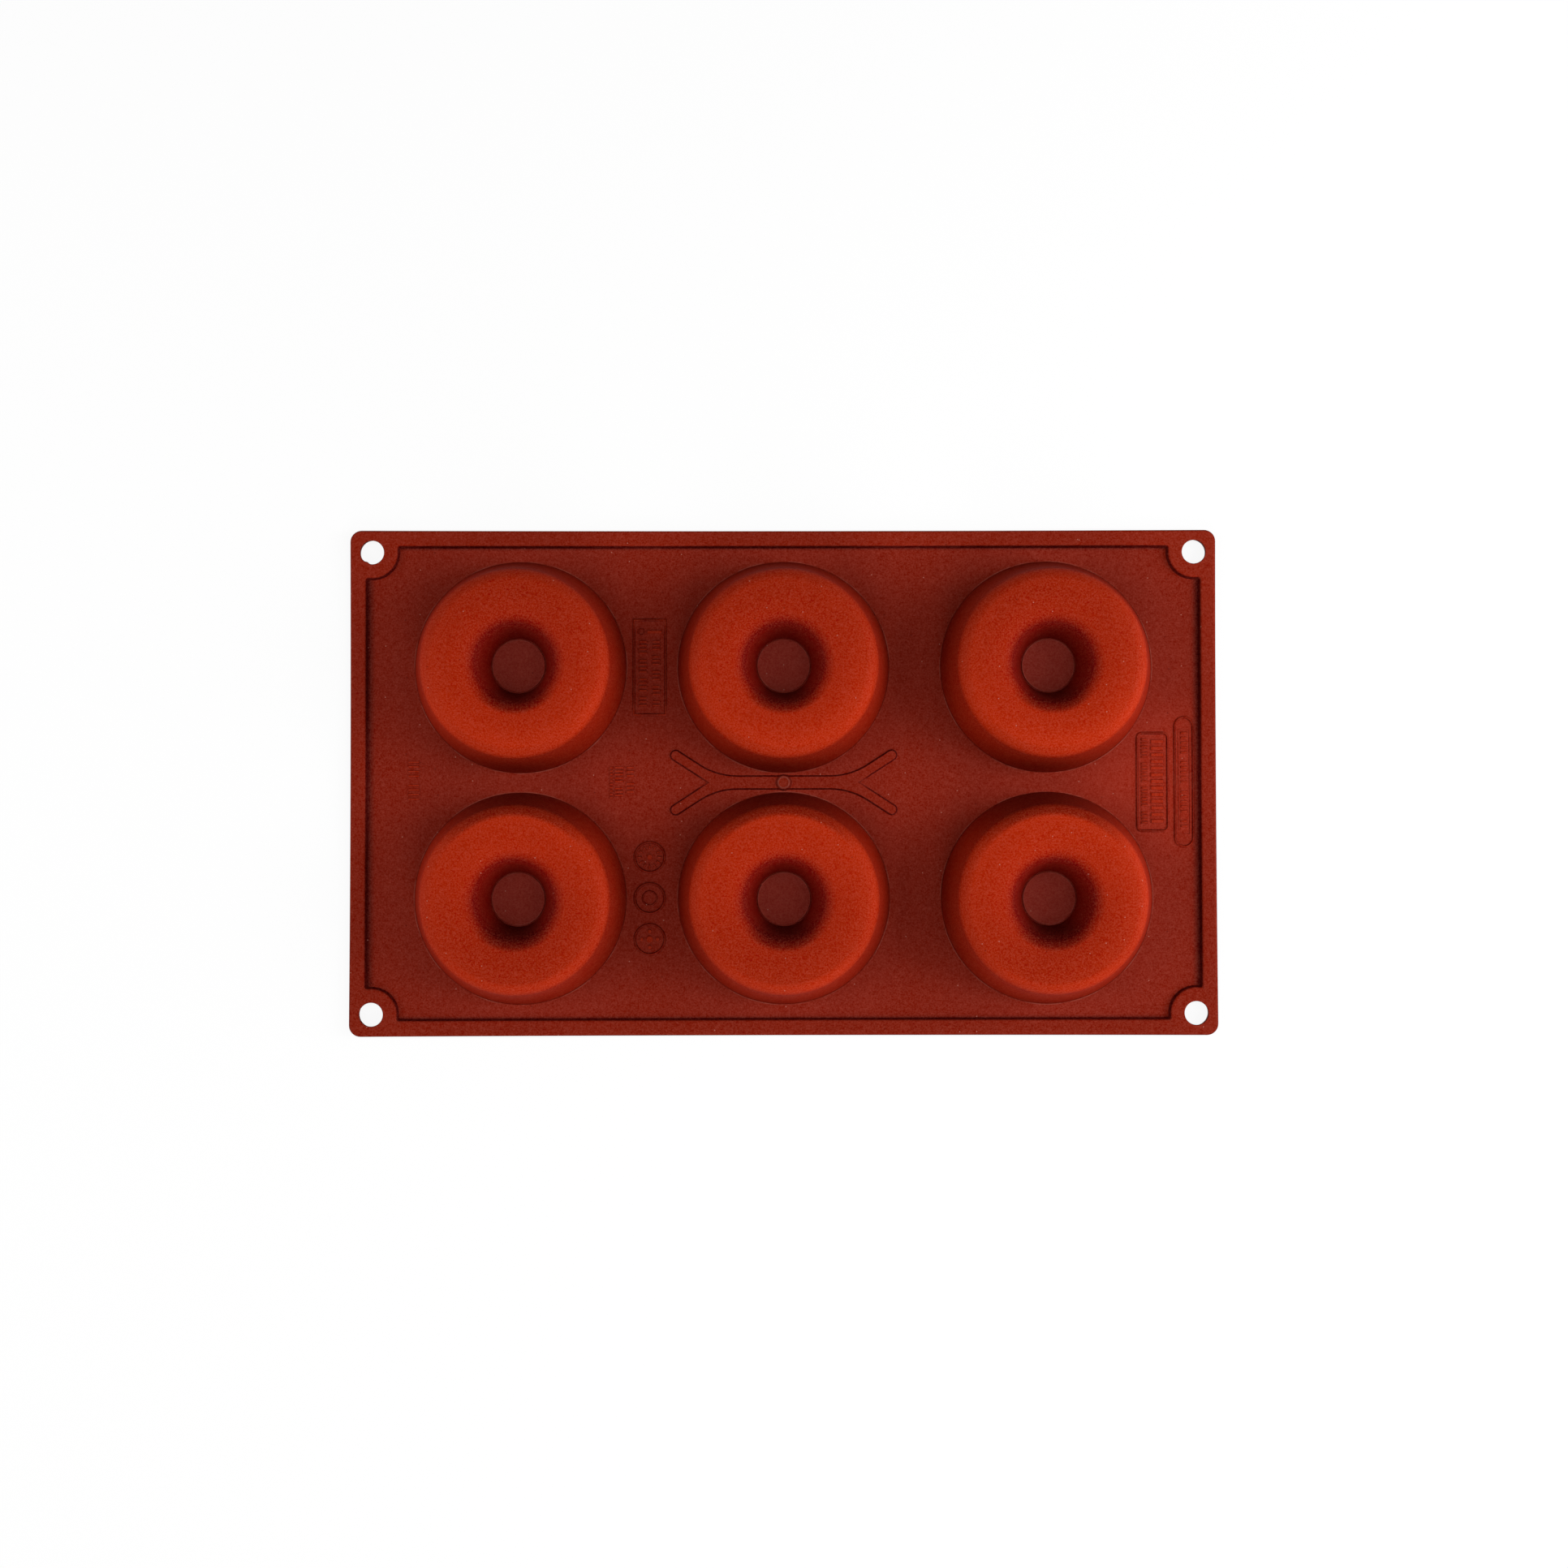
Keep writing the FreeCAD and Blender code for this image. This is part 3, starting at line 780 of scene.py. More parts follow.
# Contents of the circle marks, over their diameter
SPOT_REACH, SPOT_MIDDLE, SPOT_SMALL = 0.24, 0.20, 0.11
INNER_CIRCLE = 0.5
TICKS, TICK_REACH, TICK_MIDDLE, TICK_HALF_LENGTH = 12, 0.30, 0.16, 0.055
TICK_HALF_WIDTH = 0.4               # over a fine line's width

# Loose bars: half reach, place from the edge, bar length, step over a fine line, and which bar is left out
EDGE_COLUMN = (7.2 * MM, 22 * MM, 3.8 * MM, 3.2, 5)
WEB_MIDDLE, WEB_REACH = -56.1 * MM, 5.2 * MM
WEB_COLUMNS = ((-3.6, 1.2, 2.3, 0), (-0.9, 2.9, 2.4, 6), (3.0, 2.6, 2.8, 4))    # the first two in millimetres


def add_pad(skin, stretches, base, rise):
    """Low raised shape on a flat face. Returns its foot row."""
    outline = anticlockwise(sampled(stretches, SMALL_TURN, FLAT_SPACING))
    lean = rise * math.tan(MARK_DRAFT)
    section = [(lean, base), (FINE_EDGE / 2, base + rise - FINE_EDGE), (-FINE_EDGE / 2, base + rise)]
    foot, top = skin.climb(outline, section)
    skin.cap(top)
    return foot


def add_line(skin, stretches, width, base, rise, turn=OUTLINE_TURN):
    """Raised line along the inside of an outline, with sloping sides. Returns its two foot rows."""
    outline = anticlockwise(sampled(stretches, turn))
    outer, inner, edge = -width * LINE_OUTER, -width * LINE_INNER, MARK_EDGE / 2
    section = sampled(rounded_path([
        (MARK_EDGE + LANDING, base, 0), (0, base, edge), (outer, base + rise, edge),
        (outer - MARK_EDGE, base + rise, edge), (inner, base, edge), (inner - MARK_EDGE - LANDING, base, 0),
    ]), LINE_TURN, closed=False)
    return skin.climb(outline, section)


def add_fine_circle(skin, marks, base, size, x, y):
    """Fine raised circle with a flat middle. Returns its outer foot row."""
    outer, inner = add_line(skin, box_outline(size, size, size / 2, x, y), marks.fine_line, base,
                            marks.fine_rise, SMALL_TURN)
    skin.fill(inner)
    return outer


def add_bars(skin, marks, base, x, places, bar_length, boldness=1.0):
    """Column of short plain bars across the middle line at x, one at each place. Returns their foot rows."""
    width = marks.fine_line * boldness
    radius = marks.fine_line / 2 - FINE_EDGE
    return [add_pad(skin, box_outline(bar_length, width, radius, x, y), base, marks.fine_rise)
            for y in places]


def spaced(first, last, step, skipped=0):
    """Places from first down to last, a step apart, leaving out each skipped-th one."""
    count = int(abs(first - last) / step) + 1
    return [first - k * step for k in range(count) if not skipped or (k + 1) % skipped]


def add_tall_frame(skin, sheet, ring, marks):
    """Frame between two rings: a header with a circle and a bar, over two columns of short bars."""
    pitch_x, pitch_y = pitches(sheet, ring)
    x, y, base = -pitch_x / 2 - marks.shift, pitch_y / 2, sheet.panel_thickness
    width, reach, fine = marks.tall_width, marks.tall_length, marks.fine_line
    outer, inner = add_line(skin, box_outline(width, reach, 0, x, y), marks.line, base, marks.rise)
    header, size = y + reach * TALL_HEADER, width * TALL_RING
    contents = [add_fine_circle(skin, marks, base, size, x - size, header)]
    place, bar = (width * value for value in TALL_BAR)
    contents.append(add_pad(skin, box_outline(bar, fine * TALL_BOLD, fine / 2, x + place, header),
                            base, marks.fine_rise))
    first, last = y + reach * TALL_SPAN[0], y - reach * TALL_SPAN[1]
    for side, skipped in zip((-1, 1), TALL_SKIPPED):
        contents += add_bars(skin, marks, base, x + side * width * TALL_COLUMN,
                             spaced(first, last, fine * TALL_STEP, skipped), width * TALL_COLUMN_BAR)
    skin.fill(inner, contents)
    return [outer]


def add_slot_frame(skin, marks, base, x):
    """Round-ended frame with a column of bars in a field. Returns its foot row."""
    width, fine = marks.slot_width, marks.fine_line
    outer, inner = add_line(skin, box_outline(width, marks.slot_length, width / 2, x), marks.line, base,
                            marks.rise)
    field = (width * FIELD_SIZE[0], marks.slot_length - width * FIELD_SIZE[1])
    field_outer, field_inner = add_line(skin, box_outline(*field, 0, x), fine * FIELD_LINE, base,
                                        marks.fine_rise * FIELD_RISE)
    reach = field[1] / 2 - fine * SLOT_MARGIN
    bars = add_bars(skin, marks, base, x, spaced(reach, -reach, fine * SLOT_STEP, SLOT_SKIPPED),
                    width * SLOT_BAR)
    skin.fill(field_inner, bars)
    skin.fill(inner, [field_outer])
    return outer


def add_plate_frame(skin, marks, base, x):
    """Frame with a fine and a bold column of bars. Returns its foot row."""
    width = marks.plate_width
    outer, inner = add_line(skin, box_outline(width, marks.plate_length, marks.corner, x), marks.line, base,
                            marks.rise)
    reach = marks.plate_length * PLATE_REACH
    bars = []
    for place, bar_length, top, step, skipped, boldness in PLATE_COLUMNS:
        bars += add_bars(skin, marks, base, x + width * place,
                         spaced(reach * top, -reach, marks.fine_line * step, skipped),
                         width * bar_length, boldness)
    skin.fill(inner, bars)
    return outer


def add_short_edge_frames(skin, sheet, marks):
    """The two frames near the +X edge. Returns their foot rows."""
    base = sheet.panel_thickness
    slot_x = sheet.sheet_length / 2 - border_foot(sheet) - marks.gap - marks.slot_width / 2
    plate_x = slot_x - marks.slot_width / 2 - marks.gap - marks.plate_width / 2
    return [add_slot_frame(skin, marks, base, slot_x), add_plate_frame(skin, marks, base, plate_x)]


def add_circle_marks(skin, sheet, ring, marks):
    """Three circles in a row: a dial with ticks, a circle in a circle, and a spot with four round it."""
    pitch_x, pitch_y = pitches(sheet, ring)
    base = sheet.panel_thickness
    feet = []
    for k, contents in enumerate((add_spots, add_inner_circle, add_ticks)):
        x, y = -pitch_x / 2 - marks.shift, (k - 1) * marks.circle_pitch - pitch_y / 2
        outer, inner = add_line(skin, box_outline(marks.circle, marks.circle, marks.circle / 2, x, y),
                                marks.line, base, marks.rise)
        skin.fill(inner, contents(skin, marks, base, x, y))
        feet.append(outer)
    return feet


def add_spot(skin, marks, base, size, x, y):
    """Round spot. Returns its foot row."""
    return add_pad(skin, box_outline(size, size, size / 2, x, y), base, marks.fine_rise)


def add_spots(skin, marks, base, x, y):
    """One spot with four smaller ones round it. Returns their foot rows."""
    reach = marks.circle * SPOT_REACH
    spots = [add_spot(skin, marks, base, marks.circle * SPOT_MIDDLE, x, y)]
    for side_x, side_y in ((1, 0), (0, 1), (-1, 0), (0, -1)):
        spots.append(add_spot(skin, marks, base, marks.circle * SPOT_SMALL,
                              x + side_x * reach, y + side_y * reach))
    return spots


def add_inner_circle(skin, marks, base, x, y):
    """A smaller circle. Returns its foot row."""
    return [add_fine_circle(skin, marks, base, marks.circle * INNER_CIRCLE, x, y)]


def add_ticks(skin, marks, base, x, y):
    """A dial of short ticks round a spot. Returns their foot rows."""
    half_long, half_wide = marks.circle * TICK_HALF_LENGTH, marks.fine_line * TICK_HALF_WIDTH
    parts = [add_spot(skin, marks, base, marks.circle * TICK_MIDDLE, x, y)]
    for k in range(TICKS):
        way = (math.cos(math.tau * k / TICKS), math.sin(math.tau * k / TICKS))
        side = (-way[1], way[0])
        middle = along((x, y), way, marks.circle * TICK_REACH)
        tick = [(*along(along(middle, way, half_long * a), side, half_wide * b), half_wide / 2)
                for a, b in ((1, 1), (-1, 1), (-1, -1), (1, -1))]
        parts.append(add_pad(skin, rounded_polygon(tick), base, marks.fine_rise))
    return parts


def add_loose_bars(skin, sheet, marks):
    """Bars in rows by themselves: a column near the -X edge, and three columns in the web."""
    base, fine = sheet.panel_thickness, marks.fine_line
    reach, inset, bar_length, step, skipped = EDGE_COLUMN
    feet = add_bars(skin, marks, base, inset - sheet.sheet_length / 2,
                    spaced(reach, -reach, fine * step, skipped), bar_length)
    for place, bar_length, step, skipped in WEB_COLUMNS:
        feet += add_bars(skin, marks, base, WEB_MIDDLE + place * MM,
                         spaced(WEB_REACH, -WEB_REACH, fine * step, skipped), bar_length * MM)
    return feet


def bow_of(sheet):
    """Function that moves a point as the sides of the soft sheet have bowed inwards."""
    half_x, half_y = sheet.sheet_length / 2, sheet.sheet_width / 2

    def drawn_in(here, half, across, half_across):
        nearness = min(1.0, max(0.0, (abs(here) - half + BOW_REACH) / BOW_REACH))
        sag = sheet.bow * (1 - (across / half_across) ** 2)
        return here - math.copysign(sag * nearness ** 2, here)

    def bowed(point):
        x, y, z = point
        return drawn_in(x, half_x, y, half_y), drawn_in(y, half_y, x, half_x), z

    return bowed


def build_skin(sheet, ring, rib, marks):
    """The whole moulded skin as one object."""
    skin = Skin()
    food_edge, hole_feet, pocket_foot = add_border(skin, sheet)
    on_panel = [add_rib(skin, sheet, rib)]
    on_panel += add_tall_frame(skin, sheet, ring, marks)
    on_panel += add_short_edge_frames(skin, sheet, marks)
    on_panel += add_circle_marks(skin, sheet, ring, marks)
    on_panel += add_loose_bars(skin, sheet, marks)
    centres = ring_centres(sheet, ring)
    outside, cavity = outside_section(sheet, ring), cavity_section(ring)
    on_panel += [skin.turn(centre, outside, RING_SIDES) for centre in centres]
    mouths = [skin.turn(centre, cavity, RING_SIDES) for centre in centres]
    skin.fill(pocket_foot, on_panel)
    skin.fill(food_edge, hole_feet + mouths)
    return skin.object("mould_skin", bow_of(sheet))


# Finish

COLOUR_A, COLOUR_B, COLOUR_RESULT = 6, 7, 2     # sockets of a mix node that mixes colours
SPECKLE = (1.0, 0.32, 0.23)                     # how much the pale speckle changes red, green and blue


class Shader:
    """Adds a material's nodes and joins them."""

    def __init__(self, owner):
        owner.use_nodes = True
        self.tree = owner.node_tree
        self.tree.nodes.clear()

    def feed(self, socket, value):
        """Links a socket to another one, or sets its value."""
        if isinstance(value, bpy.types.NodeSocket):
            self.tree.links.new(value, socket)
        else:
            socket.default_value = value

    def node(self, kind, inputs=None, **settings):
        """Adds a node with its settings and inputs."""
        node = self.tree.nodes.new(kind)
        for name, value in settings.items():
            setattr(node, name, value)
        for name, value in (inputs or {}).items():
            self.feed(node.inputs[name], value)
        return node

    def math(self, operation, first, second=0.0, third=0.0):
        """Result of a calculation."""
        return self.node("ShaderNodeMath", {0: first, 1: second, 2: third}, operation=operation).outputs[0]

    def product(self, value, *others):
        """Product of two or more values."""
        for other in others:
            value = self.math("MULTIPLY", value, other)
        return value

    def rising(self, value, low, high):
        """0 up to low, 1 from high on, and smooth between them."""
        inputs = {"Value": value, "From Min": low, "From Max": high}
        return self.node("ShaderNodeMapRange", inputs, interpolation_type="SMOOTHSTEP").outputs["Result"]

    def ramp(self, value, low, high):
        """0 up to low, 1 from high on, and straight between them."""
        inputs = {"Value": value, "From Min": low, "From Max": high}
        return self.node("ShaderNodeMapRange", inputs).outputs["Result"]

    def band(self, value, low, high, blur):
        """1 between low and high, and 0 elsewhere, with blurred edges."""
        up = self.rising(value, low - blur, low + blur)
        down = self.rising(value, high - blur, high + blur)
        return self.math("SUBTRACT", up, down)

    def scaled(self, value, low, high):
        """A value from 0 to 1 as one from low to high."""
        return self.math("MULTIPLY_ADD", value, high - low, low)

    def mixed(self, factor, first, second):
        """Colour between two others."""
        inputs = {0: factor, COLOUR_A: first, COLOUR_B: second}
        return self.node("ShaderNodeMix", inputs, data_type="RGBA").outputs[COLOUR_RESULT]

    def tinted(self, tone, amount, rgb):
        """Colour with a share of another one laid over it."""
        return self.mixed(amount, tone, opaque(rgb))

    def noise(self, place, size, detail, roughness=0.5):
        """Noise from 0 to 1 whose features have about this size."""
        inputs = {"Vector": place, "Scale": 1 / size, "Detail": detail, "Roughness": roughness}
        return self.node("ShaderNodeTexNoise", inputs).outputs["Fac"]

    def distance(self, a, b):
        """Length of the vector (a, b)."""
        return self.math("SQRT", self.math("MULTIPLY_ADD", a, a, self.product(b, b)))

    def times(self, tone, level):
        """Colour made brighter or darker."""
        return self.node("ShaderNodeVectorMath", {0: tone, "Scale": level}, operation="SCALE").outputs[0]

    def more(self, tone, amount, change):
        """Colour with an amount of another one added, which may be less than none."""
        for other, operation in ((self.times(change, amount), "ADD"), ((0.0, 0.0, 0.0), "MAXIMUM")):
            tone = self.node("ShaderNodeVectorMath", {0: tone, 1: other}, operation=operation).outputs[0]
        return tone

    def specks(self, place, spacing, radius, kept):
        """1 on small round specks, seen from above, of which only a share is kept, and 0 elsewhere."""
        inputs = {"Vector": place, "Scale": 1 / spacing}
        cells = self.node("ShaderNodeTexVoronoi", inputs, voronoi_dimensions="2D")
        spot = self.rising(cells.outputs["Distance"], radius / spacing, radius / spacing / 2)
        lot = self.node("ShaderNodeSeparateColor", {0: cells.outputs["Color"]}).outputs[0]
        return self.product(spot, self.math("LESS_THAN", lot, kept))


def opaque(rgb):
    """Linear colour with full alpha."""
    return (*rgb, 1.0)


def ring_reach(shader, sheet, ring, x, y):
    """Distance from the nearest ring's axis."""
    from_axis = []
    for place, pitch, count in zip((x, y), pitches(sheet, ring), (sheet.columns, sheet.rows)):
        middle = (count - 1) / 2
        nearest = shader.math("ROUND", shader.math("MULTIPLY_ADD", place, 1 / pitch, middle))
        nearest = shader.math("MINIMUM", shader.math("MAXIMUM", nearest, 0), count - 1)
        axis = shader.scaled(nearest, -middle * pitch, (1 - middle) * pitch)
        from_axis.append(shader.math("SUBTRACT", place, axis))
    return shader.distance(*from_axis)


# Where the colours change. A pair is where a change starts and where it is complete.
LOW_DOWN = (0.9 * MM, 0.5 * MM)     # height above the panel
OPEN_PANEL = (7 * MM, 18 * MM)      # distance from a ring's foot
PALE_END = (128 * MM, 2 * MM)       # middle of the panel's pale end
PALE_REACH = (36 * MM, 12 * MM)     # distance from there
RAISED = (0.3 * MM, 1.2 * MM)       # height above the panel where the border's colour takes over
BORDER_SIDE = (0.8 * MM, 1.2 * MM)  # and where a steep side counts as the border's
MARK_TOPS = (0.2 * MM, 0.5 * MM)    # lowest and highest top of a mark
TOP_BLUR = 0.05 * MM
SHADE_REACH = (3.0 * MM, 1.2 * MM)  # width of the shade along the short and along the long sides
SHADE_CORE = 1 / 3                  # share of that width which is darkest
SHADE_STRENGTH = 0.75
# Painted shade: the normal's upward part sets how far sides, walls and well floors take darker colours.
LEVEL = (1.0, 0.95)                 # upward part of the normal where low and high sides start to darken
STEEP = (0.60, 0.30)                # and where they are darkest
WELL_SIDE = (0.66, 1.0)             # the same part from the well's wall to the crown
OUTER_SIDE = (0.15, 0.75)           # and from the outer wall to the crown
WELL_EDGE = (0.90, 0.60)            # and from the well's floor to its edge
RIM_REACH = 6 * MM                  # from the middle of the crown
SHOULDER_DEPTH = 7 * MM             # from the crown down to where the outer wall's paler upper part ends
CLIMB_SHARE = 0.29                  # share of the crown's colour there
HALF_BLUR = 1 * MM                  # half the blur between a ring's inner and outer half
EDGE_BLUR = 0.1 * MM                # and at a ring's foot and the edge of a well's floor
EDGE_ROW = (0.2, 0.3)               # distance from the sheet's middle line, over its width
MIDDLE_LIT = (0.43, 0.03)                 # the same, where the crowns take the least and the most painted light
# Painted shade on walls that face +Y or the other row, and painted light on outer walls at the -Y edge:
FACING_ACROSS = (0.5, 1.0)          # part of a wall's direction that points across the sheet
LEANING = (0.1, 0.5)                # level part of the normal
BACK_PAINTED_SHADE = (1.0, 0.1)           # share of the darkening on walls that face +Y, inside and at the edges
FRONT_PAINTED_SHADE = (0.3, -0.4)         # the same on those that face -Y, which are paler at the edges


class Spot:
    """What the shader knows of the point that it colours."""

    def __init__(self, shader, sheet, ring):
        where = shader.node("ShaderNodeTexCoord")
        self.place = where.outputs["Object"]
        self.x, self.y, self.z = shader.node("ShaderNodeSeparateXYZ", {0: self.place}).outputs
        normal = shader.node("ShaderNodeSeparateXYZ", {0: where.outputs["Normal"]}).outputs
        self.turned, self.facing = normal[1], normal[2]
        self.reach = ring_reach(shader, sheet, ring, self.x, self.y)
        self.above = shader.math("SUBTRACT", self.z, sheet.panel_thickness)
        self.low_down = shader.rising(self.above, *LOW_DOWN)


def panel_tone(shader, spot, sheet, ring, finish):
    """Colour of the panel, redder well away from the rings and paler at its +X end."""
    foot = foot_radius(sheet, ring)
    away = shader.ramp(spot.reach, foot + OPEN_PANEL[0], foot + OPEN_PANEL[1])
    tone = shader.mixed(away, opaque(finish.panel), opaque(finish.open_panel))
    gaps = [shader.math("SUBTRACT", place, middle) for place, middle in zip((spot.x, spot.y), PALE_END)]
    pale = shader.rising(shader.distance(*gaps), *PALE_REACH)
    return shader.times(tone, shader.math("MULTIPLY_ADD", pale, finish.pale_end, 1.0))


def sheet_tone(shader, spot, sheet, ring, finish):
    """Colour of panel, marks, rib and border, with a painted highlight on the marks' tops, painted shade
    along the border's foot, and painted shade on all steep sides and on the downward food face.
    """
    # Painted light: the border grows paler towards +Y.
    fade = shader.math("MULTIPLY_ADD", spot.y, finish.fade / sheet.sheet_width, 1.0)
    border = shader.times(tuple(finish.border), fade)
    tone = shader.mixed(shader.rising(spot.above, *RAISED), panel_tone(shader, spot, sheet, ring, finish),
                        border)
    # Painted highlight: the tops of the marks take the pale rim colour.
    top = shader.band(spot.above, *MARK_TOPS, TOP_BLUR)
    tone = shader.tinted(tone, shader.product(top, finish.painted_lit), finish.rim)
    # Painted shade along the foot of the border: a soft band and a darker core, by the short and by the long
    # sides.
    for place, size, reach in zip((spot.x, spot.y), (sheet.sheet_length, sheet.sheet_width), SHADE_REACH):
        outwards = shader.math("ABSOLUTE", place)
        edge = size / 2 - border_foot(sheet)
        for width, darker in ((reach, finish.shade), (reach * SHADE_CORE, finish.painted_deep_shade)):
            near = shader.product(shader.rising(outwards, edge - width, edge), spot.low_down)
            tone = shader.tinted(tone, shader.product(near, SHADE_STRENGTH), darker)
    # Painted shade: steep sides, and the downward food face, take the dark colour as their normal turns from
    # upwards.
    on_border = shader.rising(spot.above, *BORDER_SIDE)
    level, steep = shader.scaled(on_border, *LEVEL), shader.scaled(on_border, *STEEP)
    return shader.tinted(tone, shader.rising(spot.facing, level, steep), finish.painted_deep_shade)


def painted_wall_level(shader, spot, sheet, outside, finish):
    """Level of a ring's walls: painted shade where they face +Y or the other row, and painted light on the
    outer walls at the -Y edge.
    """
    outwards = shader.math("ABSOLUTE", spot.y)
    near, far = (sheet.sheet_width * value for value in EDGE_ROW)
    at_edge = shader.product(shader.rising(outwards, near, far), outside)
    lean = shader.math("SINE", shader.math("ARCCOSINE", spot.facing))
    bearing = shader.math("DIVIDE", spot.turned, lean)
    some, most = FACING_ACROSS
    to_back = shader.product(shader.rising(bearing, some, most), shader.scaled(at_edge, *BACK_PAINTED_SHADE))
    to_front = shader.product(shader.rising(bearing, -some, -most), shader.scaled(at_edge, *FRONT_PAINTED_SHADE),
                              outside)
    turned = shader.product(shader.math("ADD", to_back, to_front), shader.rising(lean, *LEANING))
    return shader.math("MULTIPLY_ADD", turned, -finish.painted_wall_shade, 1.0)


def ring_tone(shader, spot, sheet, ring, finish):
    """Colour of a ring: pale on the crown by painted light, with a painted highlight towards its outer edge,
    and darker on both walls and on the well's floor, with painted shade on the walls and at the floor's edge.
    """
    middle = (ring.mouth + ring.post) / 4
    # Painted shade: a well's wall takes the dark post colour by how steep it is.
    inner = shader.mixed(shader.ramp(spot.facing, *WELL_SIDE), opaque(finish.post), opaque(finish.crown))
    # Painted highlight: the crown takes the rim colour towards its outer edge.
    crown = shader.mixed(shader.ramp(spot.reach, middle, middle + RIM_REACH),
                         opaque(finish.crown), opaque(finish.rim))
    # Painted shade: the outer wall takes the dark side colour by how steep it is, and is painted paler
    # upwards to the crown.
    climb = shader.product(shader.ramp(spot.z, 0.0, ring.height - SHOULDER_DEPTH), CLIMB_SHARE)
    flank = shader.mixed(climb, opaque(finish.side), opaque(finish.crown))
    outer = shader.mixed(shader.rising(spot.facing, *OUTER_SIDE), flank, crown)
    outside = shader.rising(spot.reach, middle - HALF_BLUR, middle + HALF_BLUR)
    tone = shader.mixed(outside, inner, outer)
    # Painted shade and painted light by which way a wall faces.
    tone = shader.times(tone, painted_wall_level(shader, spot, sheet, outside, finish))
    # Painted light: the crowns are made paler towards the sheet's middle line.
    far, near = (sheet.sheet_width * value for value in MIDDLE_LIT)
    middle_lit = shader.rising(shader.math("ABSOLUTE", spot.y), far, near)
    tone = shader.times(tone, shader.scaled(middle_lit, 1 - finish.painted_middle_light / 2, 1 + finish.painted_middle_light / 2))
    # Painted shade: the well's floor turns to the dark post colour at its rounded edge.
    edge = floor_radius(ring)
    floor = shader.mixed(shader.rising(spot.facing, *WELL_EDGE), opaque(finish.well), opaque(finish.post))
    return shader.mixed(shader.rising(spot.reach, edge + EDGE_BLUR, edge - EDGE_BLUR), tone, floor)


# Fine moulding lines, painted as highlights and as shade. Each runs from and to a distance from the edge that
# it follows.
BEAD_LINE, FOOT_LINE = (0.12 * MM, 0.38 * MM), (-0.15 * MM, 0.02 * MM)
DISC_LINE = (-0.35 * MM, -0.05 * MM)
GATE_LINE, MOAT_LINE = (-0.35 * MM, 0.15 * MM), (0.35 * MM, 0.85 * MM)
FINE_BLUR, DISC_BLUR, GATE_BLUR = 0.08 * MM, 0.1 * MM, 0.15 * MM
BEAD_PALE, DISC_PALE, GATE_PALE = (0.02, 0.22), (0.0, 0.14), 0.2    # a pair is for bare and for patchy places
LINE_DARK = 0.6


def line_marks(shader, spot, sheet, ring, rib, patchy):
    """How strong the painted highlights and the painted shade of the fine moulding lines are."""

    def line(reach, edge, span, blur):
        return shader.band(reach, edge + span[0], edge + span[1], blur)

    foot, disc = foot_radius(sheet, ring), floor_radius(ring) - ring.disc_inset
    gate_reach = shader.distance(spot.x, spot.y)
    gate_rim = rib.gate / 2 - rib.gate_rise * math.tan(rib.gate_draft)
    bead = shader.product(line(spot.reach, foot, BEAD_LINE, FINE_BLUR), spot.low_down,
                          shader.scaled(patchy, *BEAD_PALE))
    rim = shader.product(line(spot.reach, disc, DISC_LINE, DISC_BLUR), shader.scaled(patchy, *DISC_PALE))
    gate = shader.product(line(gate_reach, gate_rim, GATE_LINE, GATE_BLUR), GATE_PALE)
    pale = shader.math("ADD", shader.math("ADD", bead, rim), gate)
    # Painted shade: a dark line at each ring's foot and a dark ring round the gate.
    dark = shader.product(line(spot.reach, foot, FOOT_LINE, FINE_BLUR), spot.low_down, LINE_DARK)
    moat = shader.product(line(gate_reach, gate_rim, MOAT_LINE, GATE_BLUR), LINE_DARK)
    return pale, shader.math("MAXIMUM", dark, moat)


# Patterns of the surface: sizes of their features, detail and roughness, and how much they change
CLOUD, CLOUD_LEVEL = (26 * MM, 3.0), (0.94, 1.06)
BLOTCH, BLOTCH_LEVEL = (3.2 * MM, 3.0, 0.6), (-0.05, 0.05)
GRAIN_DETAIL, GRAIN_ROUGHNESS = 2.0, 0.7
MOTTLE_SIZE = 2.5                   # over the grain's
EVEN = (-0.5, 0.5)                  # a pattern from 0 to 1 is moved to this, so that its mean is nothing
CROWN_DEPTH = (8 * MM, 12 * MM)     # below the top of the rings, where the crowns' grain goes over
PATCHES, PATCH_RANGE = (9 * MM, 2.0), (0.42, 0.60)
TOP_FACING = (0.5, 0.8)             # upward part of the normal where specks can lie
DUST = (6 * MM, 0.26 * MM, 0.12)    # spacing, radius and share that is kept
DIRT = (11 * MM, 0.3 * MM, 0.2)
DIRT_COLOUR, DIRT_STRENGTH = (0.02, 0.001, 0.001), 0.6
DULLNESS = (0.55, 0.75)
BLOTCH_HEIGHT, RELIEF_STRENGTH = 0.8, 0.6
SILICONE_IOR, SILICONE_SPECULAR = 1.41, 0.05


